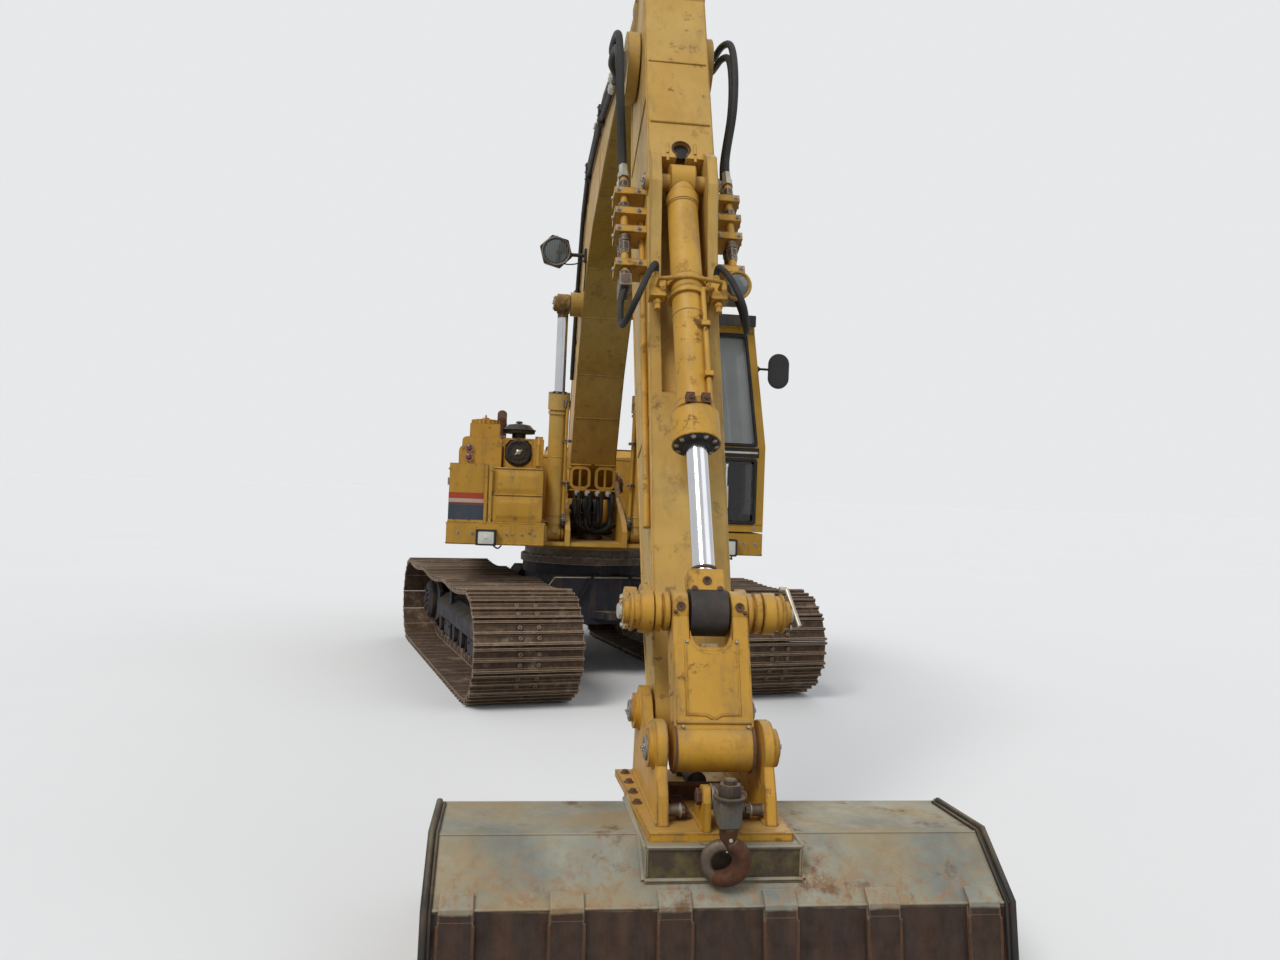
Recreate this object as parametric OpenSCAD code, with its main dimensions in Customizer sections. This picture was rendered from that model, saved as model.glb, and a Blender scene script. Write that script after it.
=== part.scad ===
// Crawler excavator with a gooseneck boom, quick coupler and ditching bucket.
// Millimetres. +X is forward of the upper structure, +Y its left, +Z up.
// The origin is on the ground, under the swing axis.

/* [Undercarriage] */
// Length of a track over its grousers
track_len = 3900; // [3600:10:4200]
// Height of a track over its grousers
track_h = 830; // [800:5:880]
// Distance between the two track centres
track_gauge = 1960; // [1900:10:2200]
// Width of a track shoe
shoe_w = 790; // [600:10:850]
// Number of shoes round one track
shoe_count = 47; // [44:1:49]
// Thickness of a shoe plate
shoe_t = 12; // [8:1:16]
// Height of the three bars on a shoe
grouser_h = 26; // [16:1:34]
// Height of the chain links under the shoes
link_h = 92; // [80:1:100]
// Width of one row of chain links
rail_w = 45; // [30:1:55]
// Clear width between the two rows of links
rail_gap = 90; // [76:1:110]
// Radius of the lower rollers' treads
roller_r = 80; // [70:1:90]
// Number of lower rollers a side
roller_count = 7; // [5:1:8]
// Radius of the upper rollers' treads
carrier_r = 68; // [55:1:75]
// How far the upper run of a track sags between its supports
track_sag = 38; // [0:1:50]
// Width of a track frame
frame_w = 320; // [280:5:360]
// Angle by which the undercarriage stands turned under the upper structure
turn = 13; // [0:1:30]

/* [Upper structure] */
// Height of the deck's underside
deck_z = 1110; // [1080:5:1180]
// Height of the deck's beams
deck_h = 170; // [140:5:200]
// Half of the deck's width
deck_half = 1190; // [1100:10:1250]
// Front edge of the right side of the deck
deck_front = 1150; // [1100:10:1250]
// Front edge of the counterweight
cw_front = 1750; // [1650:10:1850]
// Radius of the tail from the swing axis
tail_r = 2480; // [2400:10:2600]
// Height of the counterweight's underside
cw_z = 1045; // [1030:5:1100]
// Height of the counterweight's top
cw_top = 1900; // [1800:10:2000]
// Height of the tool box, from the deck
box_h = 465; // [400:5:520]
// Height of the tanks behind the tool box, from the deck
tank_h = 700; // [600:5:740]
// Thickness of the sheet-metal walls
wall = 30; // [20:1:40]
// Gap between a door or lid and its frame
door_gap = 6; // [5:1:10]

/* [Cab] */
// Rear face of the cab
cab_rear = 50; // [0:10:100]
// Length of the cab
cab_len = 1520; // [1450:10:1560]
// Inner side of the cab, beside the boom
cab_in = 450; // [445:5:470]
// Width of the cab at its waist
cab_w = 785; // [760:5:820]
// How far each side leans in from the waist to the roof
cab_lean = 115; // [80:5:140]
// Height of the cab's roof over the ground
cab_top = 2940; // [2880:10:3000]
// Height of the waist over the ground
cab_waist = 1950; // [1900:10:2000]
// Thickness of the cab's posts and panels
cab_t = 50; // [40:1:60]

/* [Boom] */
// Height of the boom foot pin
foot_z = 1620; // [1600:5:1660]
// Width of the boom box
boom_w = 380; // [360:5:400]
// Width of the boom foot between its plates
foot_w = 412; // [405:1:418]
// Radius of the boom foot and tip pins
pin_r = 45; // [38:1:50]

/* [Stick] */
// Length of the stick between its pins
stick_len = 3200; // [3150:10:3260]
// Angle by which the stick leans from upright
stick_lean = 24; // [20:1:26]
// Width of the stick box
stick_w = 290; // [270:5:300]

/* [Cylinders] */
// Outer radius of the boom cylinders
boom_cyl_r = 75; // [65:1:80]
// Outer radius of the stick cylinder
stick_cyl_r = 80; // [70:1:85]
// Outer radius of the bucket cylinder
bucket_cyl_r = 66; // [58:1:70]
// Radius of the boom and stick cylinders' rods
rod_r = 43; // [38:1:46]
// Radius of the bucket cylinder's rod
bucket_rod_r = 41; // [36:1:44]

/* [Bucket] */
// Width of the ditching bucket
bucket_w = 1800; // [1600:10:2000]
// Thickness of the bucket's plates
bucket_t = 18; // [12:1:24]
// Width of the wear strips on its heel
strip_w = 100; // [80:5:120]
// Number of wear strips
strip_count = 6; // [4:1:7]

/* [Hidden] */
$fn = 48;

// Colours
yellow = [0.78, 0.58, 0.2];
dark = [0.12, 0.13, 0.16];
steel = [0.62, 0.62, 0.62];
rust = [0.38, 0.27, 0.2];
glass = [0.35, 0.42, 0.42];
red = [0.45, 0.1, 0.08];

// Running clearances
fit = 0.05;
seat_gap = 0.3;
pass = 6;

// A flat outline drawn in X and Z, made solid across Y, centred on y
module plate(w, y = 0) {
    translate([0, y + w / 2, 0])
        rotate([90, 0, 0])
            linear_extrude(w) children();
}

// The same outline on both sides of the machine
module pair(w, y) {
    plate(w, y) children();
    plate(w, -y) children();
}

// A round bar across Y at the point p of X and Z
module bar(p, r, w, y = 0) {
    translate([p[0], y + w / 2, p[1]])
        rotate([90, 0, 0]) cylinder(r = r, h = w);
}

// A round bar from point a to point b, both of X and Z, at y
module rod(a, b, r, y = 0) {
    d = b - a;
    translate([a[0], y, a[1]])
        rotate([0, 90 - atan2(d[1], d[0]), 0]) cylinder(r = r, h = norm(d));
}

// A box given by its low and high corners
module block(lo, hi) {
    translate(lo) cube(hi - lo);
}

// Moves a line of points sideways by d, to the right of its direction, with mitred corners
function unit(v) = v / norm(v);
function right_of(v) = [v[1], -v[0]];
function seg_dir(p, i) = unit(p[i + 1] - p[i]);
function mitre(p, i, d) =
    let (n = len(p) - 1,
         a = right_of(seg_dir(p, max(i - 1, 0))),
         b = right_of(seg_dir(p, min(i, n - 1))),
         m = unit(a + b))
    p[i] + m * d / (m * a);
function shifted(p, d) = [for (i = [0:len(p) - 1]) mitre(p, i, d)];
function reversed(p) = [for (i = [len(p) - 1:-1:0]) p[i]];
// A strip of sheet that follows the points, d thick on the right of their direction
function strip(p, d) = concat(p, reversed(shifted(p, d)));

// Track loop: the line between the shoes and the links, as a function of the way along it
pad_z = shoe_t + grouser_h;
loop_z = track_h / 2;
loop_r = loop_z - pad_z;
run = track_len - track_h;
arc_len = PI * loop_r;
loop_len = 2 * (run + arc_len);
pitch = loop_len / shoe_count;
carriers = [run * 0.17, -run * 0.19];
supports = [run / 2, carriers[0], carriers[1], -run / 2];
function span_sag(x, a, b) = x <= a && x >= b ? track_sag * pow((a - b) / (supports[0] - supports[1]), 2)
    * sin(180 * (a - x) / (a - b)) : 0;
function sag(x) = max([for (i = [0:2]) span_sag(x, supports[i], supports[i + 1])]);
function loop_point(s) =
    s < run ? [s - run / 2, loop_z - loop_r] :
    s < run + arc_len ? let (a = (s - run) / loop_r * 180 / PI)
        [run / 2 + loop_r * sin(a), loop_z - loop_r * cos(a)] :
    s < 2 * run + arc_len ? let (x = run / 2 - (s - run - arc_len))
        [x, loop_z + loop_r - sag(x)] :
    let (a = (s - 2 * run - arc_len) / loop_r * 180 / PI)
        [-run / 2 - loop_r * sin(a), loop_z + loop_r * cos(a)];
loop_points = [for (i = [0:shoe_count]) loop_point((i % shoe_count + 0.5) * pitch % loop_len)];
half_step = asin(pitch / 2 / loop_r);
tread_r = loop_r * cos(half_step) - link_h - seat_gap;
rail_y = (rail_gap + rail_w) / 2;

// Roller places
roller_z = pad_z + link_h + roller_r + seat_gap;
carrier_drop = 12;
carrier_z = track_h - pad_z - link_h - carrier_r - carrier_drop;
roller_span = run - 2 * tread_r - 300;
collar_y = rail_y + rail_w / 2 + 30;
collar_t = 32;
frame_z = roller_z + roller_r + 30;
frame_top = carrier_z - carrier_r - 35;

// Shoe section: place along the pitch and height above the plate's underside
function shoe_section(p) = let (h = shoe_t + grouser_h, g = 2, under = -4)
    [[g, under], [g, h], [0.10 * p, h], [0.14 * p, shoe_t],
     [0.43 * p, shoe_t], [0.46 * p, h], [0.54 * p, h], [0.57 * p, shoe_t],
     [0.86 * p, shoe_t], [0.90 * p, h], [p - g, h], [p - g, under]];

module shoes() {
    for (i = [0:shoe_count - 1]) {
        a = loop_points[i];
        d = loop_points[i + 1] - a;
        t = unit(d);
        n = right_of(t);
        polygon([for (q = shoe_section(norm(d))) a + q[0] * t + q[1] * n]);
    }
}

module link_ring() {
    ring = [for (i = [0:shoe_count - 1]) loop_points[i]];
    inner = [for (i = [0:shoe_count - 1])
        let (prev = loop_points[(i + shoe_count - 1) % shoe_count],
             next = loop_points[i + 1],
             a = right_of(unit(ring[i] - prev)),
             b = right_of(unit(next - ring[i])),
             m = unit(a + b))
        ring[i] - m * link_h / (m * a)];
    difference() {
        polygon(ring);
        polygon(inner);
    }
}

module track() {
    color(rust) {
        plate(shoe_w) shoes();
        pair(rail_w, rail_y) link_ring();
    }
}

// Turns the undercarriage under the upper structure
module turned() {
    rotate([0, 0, turn]) children();
}

module on_side(side) {
    turned() translate([0, side * track_gauge / 2, 0])
        mirror([0, side < 0 ? 1 : 0, 0]) children();
}

// Undercarriage pieces are drawn with +Y outward
idler_c = [run / 2, loop_z];
sprocket_c = [-run / 2, loop_z];
idler_hub_w = 2 * collar_y - collar_t - 2;
shaft_r = 34;

module idler() {
    translate([idler_c[0], 0, idler_c[1]]) rotate([90, 0, 0]) {
        rotate_extrude($fn = 64) polygon([
            [0, -idler_hub_w / 2], [75, -idler_hub_w / 2], [75, -30],
            [tread_r - 55, -18], [tread_r - 55, -rail_y - rail_w / 2], [tread_r, -rail_y - rail_w / 2],
            [tread_r, -rail_gap / 2 + 6], [tread_r + 22, -rail_gap / 2 + 12],
            [tread_r + 22, rail_gap / 2 - 12], [tread_r, rail_gap / 2 - 6],
            [tread_r, rail_y + rail_w / 2], [tread_r - 55, rail_y + rail_w / 2], [tread_r - 55, 18],
            [75, 30], [75, idler_hub_w / 2], [0, idler_hub_w / 2]]);
        cylinder(r = shaft_r, h = frame_w, center = true);
    }
}

tooth_count = 21;
sprocket_root = tread_r - 14;
sprocket_tip = tread_r + 36;
drum_r = 215;
cover_r = 188;
motor_r = 160;
drive_plate_y = rail_y + rail_w / 2 + 28;
drive_plate_t = 34;

module sprocket() {
    step = 360 / tooth_count;
    translate([sprocket_c[0], 0, sprocket_c[1]]) {
        rotate([90, 0, 0]) {
            linear_extrude(rail_gap - 26, center = true)
                polygon([for (i = [0:tooth_count - 1], q = [[-0.42, sprocket_root], [-0.2, sprocket_tip],
                                                            [0.2, sprocket_tip], [0.42, sprocket_root]])
                    q[1] * [cos((i + q[0]) * step), sin((i + q[0]) * step)]]);
            cylinder(r = drum_r, h = 2 * (drive_plate_y - drive_plate_t / 2 - 1), center = true);
        }
        // final drive cover outside, motor inside
        rotate([-90, 0, 0]) rotate_extrude() polygon([[0, 0], [cover_r, 0], [cover_r, frame_w / 2 + 18],
            [cover_r - 30, frame_w / 2 + 48], [70, frame_w / 2 + 58], [0, frame_w / 2 + 58]]);
        rotate([90, 0, 0]) cylinder(r = motor_r, h = frame_w / 2 + 90);
    }
}

module roller(x, z, r) {
    f = 14;
    w = rail_y + rail_w / 2 + 4;
    translate([x, 0, z]) rotate([90, 0, 0]) rotate_extrude() polygon([
        [0, -collar_y - collar_t / 2 + 2], [30, -collar_y - collar_t / 2 + 2], [30, -w - 8], [r + f, -w - 8], [r + f, -w],
        [r, -w], [r, -rail_gap / 2 + 8], [r - 22, -rail_gap / 2 + 14],
        [r - 22, rail_gap / 2 - 14], [r, rail_gap / 2 - 8], [r, w], [r + f, w],
        [r + f, w + 8], [30, w + 8], [30, collar_y + collar_t / 2 - 2], [0, collar_y + collar_t / 2 - 2]]);
}

function roller_x(i) = -roller_span / 2 + i * roller_span / (roller_count - 1);

module roller_set() {
    for (i = [0:roller_count - 1])
        roller(roller_x(i), roller_z, roller_r);
    for (x = carriers)
        roller(x, carrier_z, carrier_r);
}

// Side frame: roof-shaped box, roller collars, idler yoke and drive plates
module track_frame() {
    beam_front = idler_c[0] - tread_r - 60;
    beam_rear = sprocket_c[0] + tread_r + 70;
    yoke_y = frame_w / 2 - 17;
    color(dark) {
        difference() {
            union() {
                translate([beam_rear, 0, 0]) rotate([90, 0, 90])
                    linear_extrude(beam_front - beam_rear) polygon([
                        [-frame_w / 2, frame_z], [frame_w / 2, frame_z], [frame_w / 2, frame_top - 70],
                        [frame_w / 2 - 90, frame_top], [-frame_w / 2 + 90, frame_top], [-frame_w / 2, frame_top - 70]]);
                // idler yoke with its rounded ends
                pair(34, yoke_y) {
                    polygon([[beam_front - 10, frame_z], [idler_c[0], idler_c[1] - 62], [idler_c[0], idler_c[1] + 62],
                        [beam_front - 10, frame_top - 70]]);
                    translate(idler_c) circle(62);
                }
                // drive plates
                pair(drive_plate_t, drive_plate_y) {
                    polygon([[beam_rear + 10, frame_z - 40], [beam_rear + 10, frame_top],
                        [sprocket_c[0] + 60, loop_z + drum_r + 10], [sprocket_c[0], loop_z + drum_r + 10],
                        [sprocket_c[0], loop_z - drum_r - 10], [sprocket_c[0] + 60, loop_z - drum_r - 10]]);
                    translate(sprocket_c) circle(drum_r + 10);
                }
                // collars that hold the lower rollers
                for (i = [0:roller_count - 1])
                    pair(collar_t, collar_y) {
                        translate([roller_x(i) - 55, roller_z]) square([110, frame_z - roller_z]);
                        translate([roller_x(i), roller_z]) circle(55);
                    }
                // brackets of the upper rollers
                for (x = carriers)
                    pair(collar_t, collar_y) {
                        translate([x - 50, frame_top - 80]) square([100, carrier_z - frame_top + 80]);
                        translate([x, carrier_z]) circle(50);
                    }
            }
            bar(idler_c, shaft_r + seat_gap, frame_w + 2);
            bar(sprocket_c, cover_r + seat_gap, frame_w, frame_w / 2);
            bar(sprocket_c, motor_r + seat_gap, frame_w, -frame_w / 2);
            for (i = [0:roller_count - 1])
                bar([roller_x(i), roller_z], 30 + seat_gap, 2 * collar_y + collar_t - 4);
            for (x = carriers)
                bar([x, carrier_z], 30 + seat_gap, 2 * collar_y + collar_t - 4);
        }
    }
}

// Centre of the undercarriage, between the side frames
body_top = 930;
race_z = deck_z - 50;
bearing_r = 590;
body_half = track_gauge / 2 - frame_w / 2;
body_low = frame_z + 10;
body_high = frame_top - 80;
axle_x = 560;
axle_w = 330;
tow_bore_r = 26;
tow_z = 500;
tow_x = axle_x + axle_w / 2 + 75;
tow_root = axle_x + axle_w / 2 - 5;

module car_body() {
    inside = track_gauge / 2 - shoe_w / 2 - 10;
    half = [[480, 450], [body_half, body_low], [body_half, body_high], [inside + 125, 640], [inside, 725], [490, 840]];
    section = concat(half, [for (q = reversed(half)) [-q[0], q[1]]]);
    color(dark) turned() difference() {
        union() {
            for (x = [axle_x, -axle_x])
                translate([x - axle_w / 2, 0, 0]) rotate([90, 0, 90])
                    linear_extrude(axle_w) polygon(section);
            block([-axle_x, -470, 450], [axle_x, 470, 840]);
            translate([0, 0, 838]) cylinder(r = bearing_r - 20, h = body_top - 838);
            // towing lugs front and rear
            for (s = [1, -1])
                translate([0, 0, tow_z]) linear_extrude(60) {
                    polygon([[s * tow_root, -170], [s * tow_x, -75], [s * tow_x, 75], [s * tow_root, 170]]);
                    translate([s * tow_x, 0]) circle(75);
                }
        }
        for (s = [1, -1])
            translate([s * tow_x, 0, tow_z - 10]) cylinder(r = tow_bore_r, h = 80);
        // hand holes in the axle beams
        for (x = [axle_x, -axle_x], y = [-1, 1])
            translate([x, y * 640, 380]) cylinder(r = 80, h = 120);
    }
}

module swing_bearing() {
    color(steel) turned() difference() {
        union() {
            translate([0, 0, body_top]) cylinder(r = bearing_r, h = 60, $fn = 96);
            translate([0, 0, body_top + 60]) cylinder(r = bearing_r - 35, h = race_z - seat_gap - body_top - 60, $fn = 96);
        }
        translate([0, 0, body_top - 1]) cylinder(r = bearing_r - 120, h = 200);
    }
}

// A hinge along +Z at the origin: leaves lie on the faces at y = -hinge_out, the fixed one towards -X
hinge_r = 12;
hinge_pin = 6;
hinge_out = 15;
hinge_leaf = 5;
hinge_w = 55;
knuckle_h = 60;
knuckle_gap = 0.3;

module hinge_leaf_bar(dir, z0, h) {
    translate([dir > 0 ? 0 : -hinge_w, -hinge_out, z0]) cube([hinge_w, hinge_leaf, h]);
    translate([dir > 0 ? 0 : -hinge_r, -hinge_out, z0]) cube([hinge_r, hinge_out - 2, h]);
}

module hinge_fixed() {
    for (z = [-1.5 * knuckle_h, 0.5 * knuckle_h + knuckle_gap]) {
        translate([0, 0, z]) cylinder(r = hinge_r, h = knuckle_h - knuckle_gap);
        hinge_leaf_bar(-1, z, knuckle_h - knuckle_gap);
    }
    translate([0, 0, -1.5 * knuckle_h]) cylinder(r = hinge_pin, h = 3 * knuckle_h);
}

module hinge_moving() {
    difference() {
        union() {
            translate([0, 0, -knuckle_h / 2]) cylinder(r = hinge_r, h = knuckle_h);
            hinge_leaf_bar(1, -knuckle_h / 2, knuckle_h);
        }
        translate([0, 0, -knuckle_h]) cylinder(r = hinge_pin + fit, h = 2 * knuckle_h);
    }
}

// Upper frame
deck_top = deck_z + deck_h;
foot = [0, foot_z];
cyl_foot = [860, 1220];
cyl_y = 340;
eye_w = 100;
foot_plate_t = 42;
foot_plate_y = foot_w / 2 + foot_plate_t / 2 + 5;
ear_t = 34;
ear_y = cyl_y + eye_w / 2 + ear_t / 2 + 3;
bottom_t = 30;
cab_front = cab_rear + cab_len;
deck_out = [[-cw_front, -deck_half], [deck_front, -deck_half], [deck_front, -ear_y - ear_t / 2],
    [560, -ear_y - ear_t / 2], [560, ear_y + ear_t / 2], [cab_front, ear_y + ear_t / 2], [cab_front, cab_in + cab_w],
    [cab_rear - 200, cab_in + cab_w], [cab_rear - 200, deck_half], [-cw_front, deck_half]];

module main_frame() {
    tower = [[-cw_front, deck_z], [-cw_front, deck_top + 110], [-620, deck_top + 150], [-150, foot_z + 60],
        [150, foot_z + 40], [480, deck_top + 190], [cyl_foot[0] + 40, deck_top + 40],
        [cyl_foot[0] + 150, deck_top - 40], [cyl_foot[0] + 150, deck_z]];
    color(yellow) difference() {
        union() {
            // deck plate and the beams round its edge
            difference() {
                translate([0, 0, deck_z]) linear_extrude(deck_h) polygon(deck_out);
                block([-cw_front + 70, -deck_half + 70, deck_z - 1], [deck_front - 90, -foot_plate_y, deck_top - 20]);
                block([-cw_front + 70, foot_plate_y, deck_z - 1], [cab_front - 90, deck_half - 70, deck_top - 20]);
                block([-cw_front + 70, -foot_plate_y, deck_z + bottom_t], [600, foot_plate_y, deck_top + 1]);
            }
            pair(foot_plate_t, foot_plate_y) {
                polygon(tower);
                translate(foot) circle(135);
            }
            pair(30, foot_plate_y + foot_plate_t / 2 + 15) translate(foot) circle(105);
            // cylinder brackets and the plate under them
            pair(ear_t, ear_y) {
                polygon([[540, deck_z], [540, deck_top], [cyl_foot[0] - 60, deck_top], [cyl_foot[0], cyl_foot[1] + 75],
                    [cyl_foot[0] + 75, cyl_foot[1]], [cyl_foot[0] + 110, deck_z]]);
                translate(cyl_foot) circle(75);
            }
            pair(20, (foot_plate_y + foot_plate_t / 2 + cyl_y - eye_w / 2) / 2 - 1) translate(cyl_foot) circle(62);
            translate([0, 0, deck_z]) linear_extrude(bottom_t)
                polygon([[500, -ear_y - ear_t / 2], [cyl_foot[0] + 110, -ear_y - ear_t / 2],
                    [cyl_foot[0] + 150, 0], [cyl_foot[0] + 110, ear_y + ear_t / 2], [500, ear_y + ear_t / 2]]);
            // cab mounts
            for (x = [cab_rear + 120, cab_front - 120], y = [cab_in + 110, cab_out - 110])
                translate([x, y, deck_top - 1]) cylinder(r = 45, h = 1 + cab_lift - seat_gap);
            // slanting legs in front of the boom foot
            for (s = [1, -1])
                translate([560, 0, 0]) rotate([90, 0, 90]) linear_extrude(30)
                    polygon([[s * 214, 1530], [s * 254, 1530], [s * 380, deck_top - 2], [s * 310, deck_top - 2]]);
            // race under the deck
            translate([0, 0, race_z]) cylinder(r = bearing_r, h = deck_z + 2 - race_z, $fn = 96);
            block([-700, -bearing_r, deck_z], [600, bearing_r, deck_z + bottom_t]);
            // cross plates between the towers
            block([-640, -foot_plate_y, deck_z], [-600, foot_plate_y, deck_top + 120]);
            block([-1500, -foot_plate_y, deck_z], [-1460, foot_plate_y, deck_top + 60]);
            bar(foot, pin_r, 2 * (foot_plate_y + foot_plate_t / 2 + 45));
            for (s = [1, -1])
                bar(cyl_foot, pin_r - 5, ear_y + ear_t / 2 + 12 - foot_plate_y,
                    s * (ear_y + ear_t / 2 + 12 + foot_plate_y) / 2);
        }
        // opening over the swivel joint
        translate([0, 0, deck_z - 60]) cylinder(r = 190, h = 200);
    }
}

cw_bore_r = 32;
cw_lug_x = -2060;
cw_lug_y = 620;

// Hinges of the hood stand on the counterweight
hood_pin = [-cw_front + 7, cw_top + hinge_out + 3];
hood_hinges = [-330, 730];

module at_hood_hinge(y) {
    translate([hood_pin[0], y, hood_pin[1]]) rotate([90, 0, 0]) children();
}

module counterweight() {
    color(yellow) for (y = hood_hinges)
        at_hood_hinge(y) hinge_fixed();
    color(yellow) for (y = hood_hinges)
        translate([hood_pin[0] - hinge_w, y - 1.5 * knuckle_h, cw_top - 1]) cube([hinge_w - hinge_r, 3 * knuckle_h, 6]);
    color(yellow) difference() {
        union() {
            intersection() {
                rotate_extrude($fn = 128) polygon([[0, cw_z], [tail_r - 150, cw_z], [tail_r - 40, cw_z + 110], [tail_r, cw_z + 230],
                    [tail_r, cw_top - 130], [tail_r - 60, cw_top - 40], [tail_r - 220, cw_top], [0, cw_top]]);
                block([-tail_r - 10, -deck_half, cw_z - 10], [-cw_front - seat_gap, deck_half, cw_top + 10]);
            }
            // lifting lugs
            for (s = [1, -1])
                plate(46, s * cw_lug_y) {
                    translate([cw_lug_x - 85, cw_top - 20]) square([170, 70]);
                    translate([cw_lug_x, cw_top + 48]) circle(85);
                }
        }
        for (s = [1, -1])
            bar([cw_lug_x, cw_top + 62], cw_bore_r, 60, s * cw_lug_y);
        // pocket for the tow pin
        block([-tail_r - 10, -130, cw_z - 1], [-tail_r + 190, 130, cw_z + 210]);
    }
}

// Engine room
room_front = -700;
room_rear = -cw_front + 8;
room_half = deck_half - 12;
room_top = cw_top - 30;
pump_wall = -480;
door_z = [deck_top + 45, room_top - 45];
door_x = [room_rear + 60, room_front - 60];

side_pin_y = room_half + hinge_out;
side_hinge_z = [door_z[0] + 130, door_z[1] - 130];

module at_side_hinges(s) {
    for (z = side_hinge_z)
        mirror([0, s < 0 ? 1 : 0, 0]) translate([door_x[0] + door_gap / 2, side_pin_y, z]) children();
}

module engine_housing() {
    color(yellow) for (s = [1, -1])
        at_side_hinges(s) hinge_fixed();
    color(yellow) difference() {
        block([room_rear, -room_half, deck_top], [room_front, room_half, room_top]);
        block([room_rear + wall, pump_wall + wall / 2, deck_top - 1], [room_front - wall, room_half - wall, room_top + 1]);
        block([room_rear + wall, -room_half + wall, deck_top - 1], [room_front - wall, pump_wall - wall / 2, room_top - wall]);
        // notches over the frame's long plates
        pair(foot_plate_t + 2 * seat_gap, foot_plate_y)
            translate([room_rear - 1, deck_top - 1]) square([room_front - room_rear + 2, 151]);
        for (s = [1, -1])
            block([door_x[0], min(s * room_half, s * (room_half - wall)) - 1, door_z[0]],
                [door_x[1], max(s * room_half, s * (room_half - wall)) + 1, door_z[1]]);
    }
}

module engine_block() {
    color(dark) {
        block([-1440, -330, deck_top + 165], [-900, 560, deck_top + 440]);
        block([-1400, -250, deck_top + 439], [-960, 460, deck_top + 545]);
        for (x = [-1410, -990], y = [-325, 320])
            block([x, y, deck_top], [x + 60, y + 55, deck_top + 166]);
    }
}

module radiator() {
    fins = 9;
    depth = 90;
    y0 = 800;
    color(dark) difference() {
        block([room_rear + wall + 20, y0, deck_top], [room_front - wall - 20, y0 + depth, room_top - 40]);
        for (i = [0:fins - 1]) {
            z = deck_top + 70 + i * 52;
            block([room_rear + wall + 80, y0 + depth - 25, z], [room_front - wall - 80, y0 + depth + 1, z + 26]);
        }
    }
}

// A louvred or plain door panel in the side of the engine room
module side_door(s, slots) {
    y_out = room_half;
    color(yellow) at_side_hinges(s) hinge_moving();
    color(yellow) difference() {
        block([door_x[0] + door_gap, min(s * y_out, s * (y_out - wall)), door_z[0] + door_gap],
            [door_x[1] - door_gap, max(s * y_out, s * (y_out - wall)), door_z[1] - door_gap]);
        for (i = [0:slots - 1])
            block([door_x[0] + 150, s * y_out - wall - 1, door_z[0] + 90 + i * 46],
                [door_x[1] - 150, s * y_out + wall + 1, door_z[0] + 90 + i * 46 + 22]);
    }
}

module pump_door() {
    side_door(-1, 0);
}

module radiator_door() {
    side_door(1, 8);
}

hood_y = [pump_wall + wall, room_half - 14];

module engine_hood() {
    lip = cw_top + 3 - room_top - door_gap;
    color(yellow) for (y = hood_hinges)
        at_hood_hinge(y) hinge_moving();
    color(yellow) difference() {
        union() {
            block([room_rear + 6, hood_y[0], room_top + door_gap], [room_front - 4, hood_y[1], room_top + door_gap + lip]);
            translate([0, (hood_y[0] + hood_y[1]) / 2, 0])
                plate(hood_y[1] - hood_y[0] - 160) polygon([[room_rear + 90, room_top + lip], [room_rear + 150, room_top + 105],
                    [room_front - 150, room_top + 105], [room_front - 90, room_top + lip]]);
        }
        translate([0, (hood_y[0] + hood_y[1]) / 2, 0])
            plate(hood_y[1] - hood_y[0] - 220) polygon([[room_rear + 130, room_top - 1], [room_rear + 170, room_top + 80],
                [room_front - 170, room_top + 80], [room_front - 130, room_top - 1]]);
        // louvres in the crown
        for (i = [0:6])
            block([-1500 + i * 95, hood_y[0] + 240, room_top + 60], [-1460 + i * 95, hood_y[1] - 240, room_top + 120]);
    }
}

// Tanks behind the tool box on the right
tank_x = [room_front + 12, deck_front - 480];
tank_split = 20;
tank_top = deck_top + tank_h;

module rounded_tank(x0, x1, y0, y1, z0, z1, r) {
    translate([x0, 0, 0]) rotate([90, 0, 90]) linear_extrude(x1 - x0) union() {
        polygon([[y0, z0], [y1, z0], [y1, z1 - r], [y1 - r, z1], [y0 + r, z1], [y0, z1 - r]]);
        translate([y0 + r, z1 - r]) circle(r);
        translate([y1 - r, z1 - r]) circle(r);
    }
}

module fuel_tank() {
    color(yellow) {
        rounded_tank(tank_split + 4, tank_x[1], -deck_half + 75, -790, deck_top, tank_top, 35);
        translate([(tank_split + tank_x[1]) / 2 + 60, -937, tank_top - 1]) {
            translate([-150, -125, 0]) cube([300, 250, 120]);
            translate([0, 0, 119]) cylinder(r = 115, h = 40);
        }
    }
    // two round sight glasses, one over the other
    color(red) for (z = [97, 172])
        translate([tank_x[1] - 1, -deck_half + 135, tank_top - z]) rotate([0, 90, 0]) cylinder(r = 34, h = 20);
}

module hydraulic_tank() {
    color(yellow) {
        rounded_tank(tank_x[0], tank_split - 4, -deck_half + 15, -ear_y - 40, deck_top, tank_top - 40, 60);
        translate([(tank_x[0] + tank_split) / 2, -820, tank_top - 42]) cylinder(r = 130, h = 30);
        translate([(tank_x[0] + tank_split) / 2, -820, tank_top - 14]) cylinder(r = 45, h = 60);
    }
}

// Front right box: striped panel, post and two rounded steps
step_x = 60;
box_x = [tank_x[1] + 25, deck_front - 10];
post_y = -885;

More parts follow.
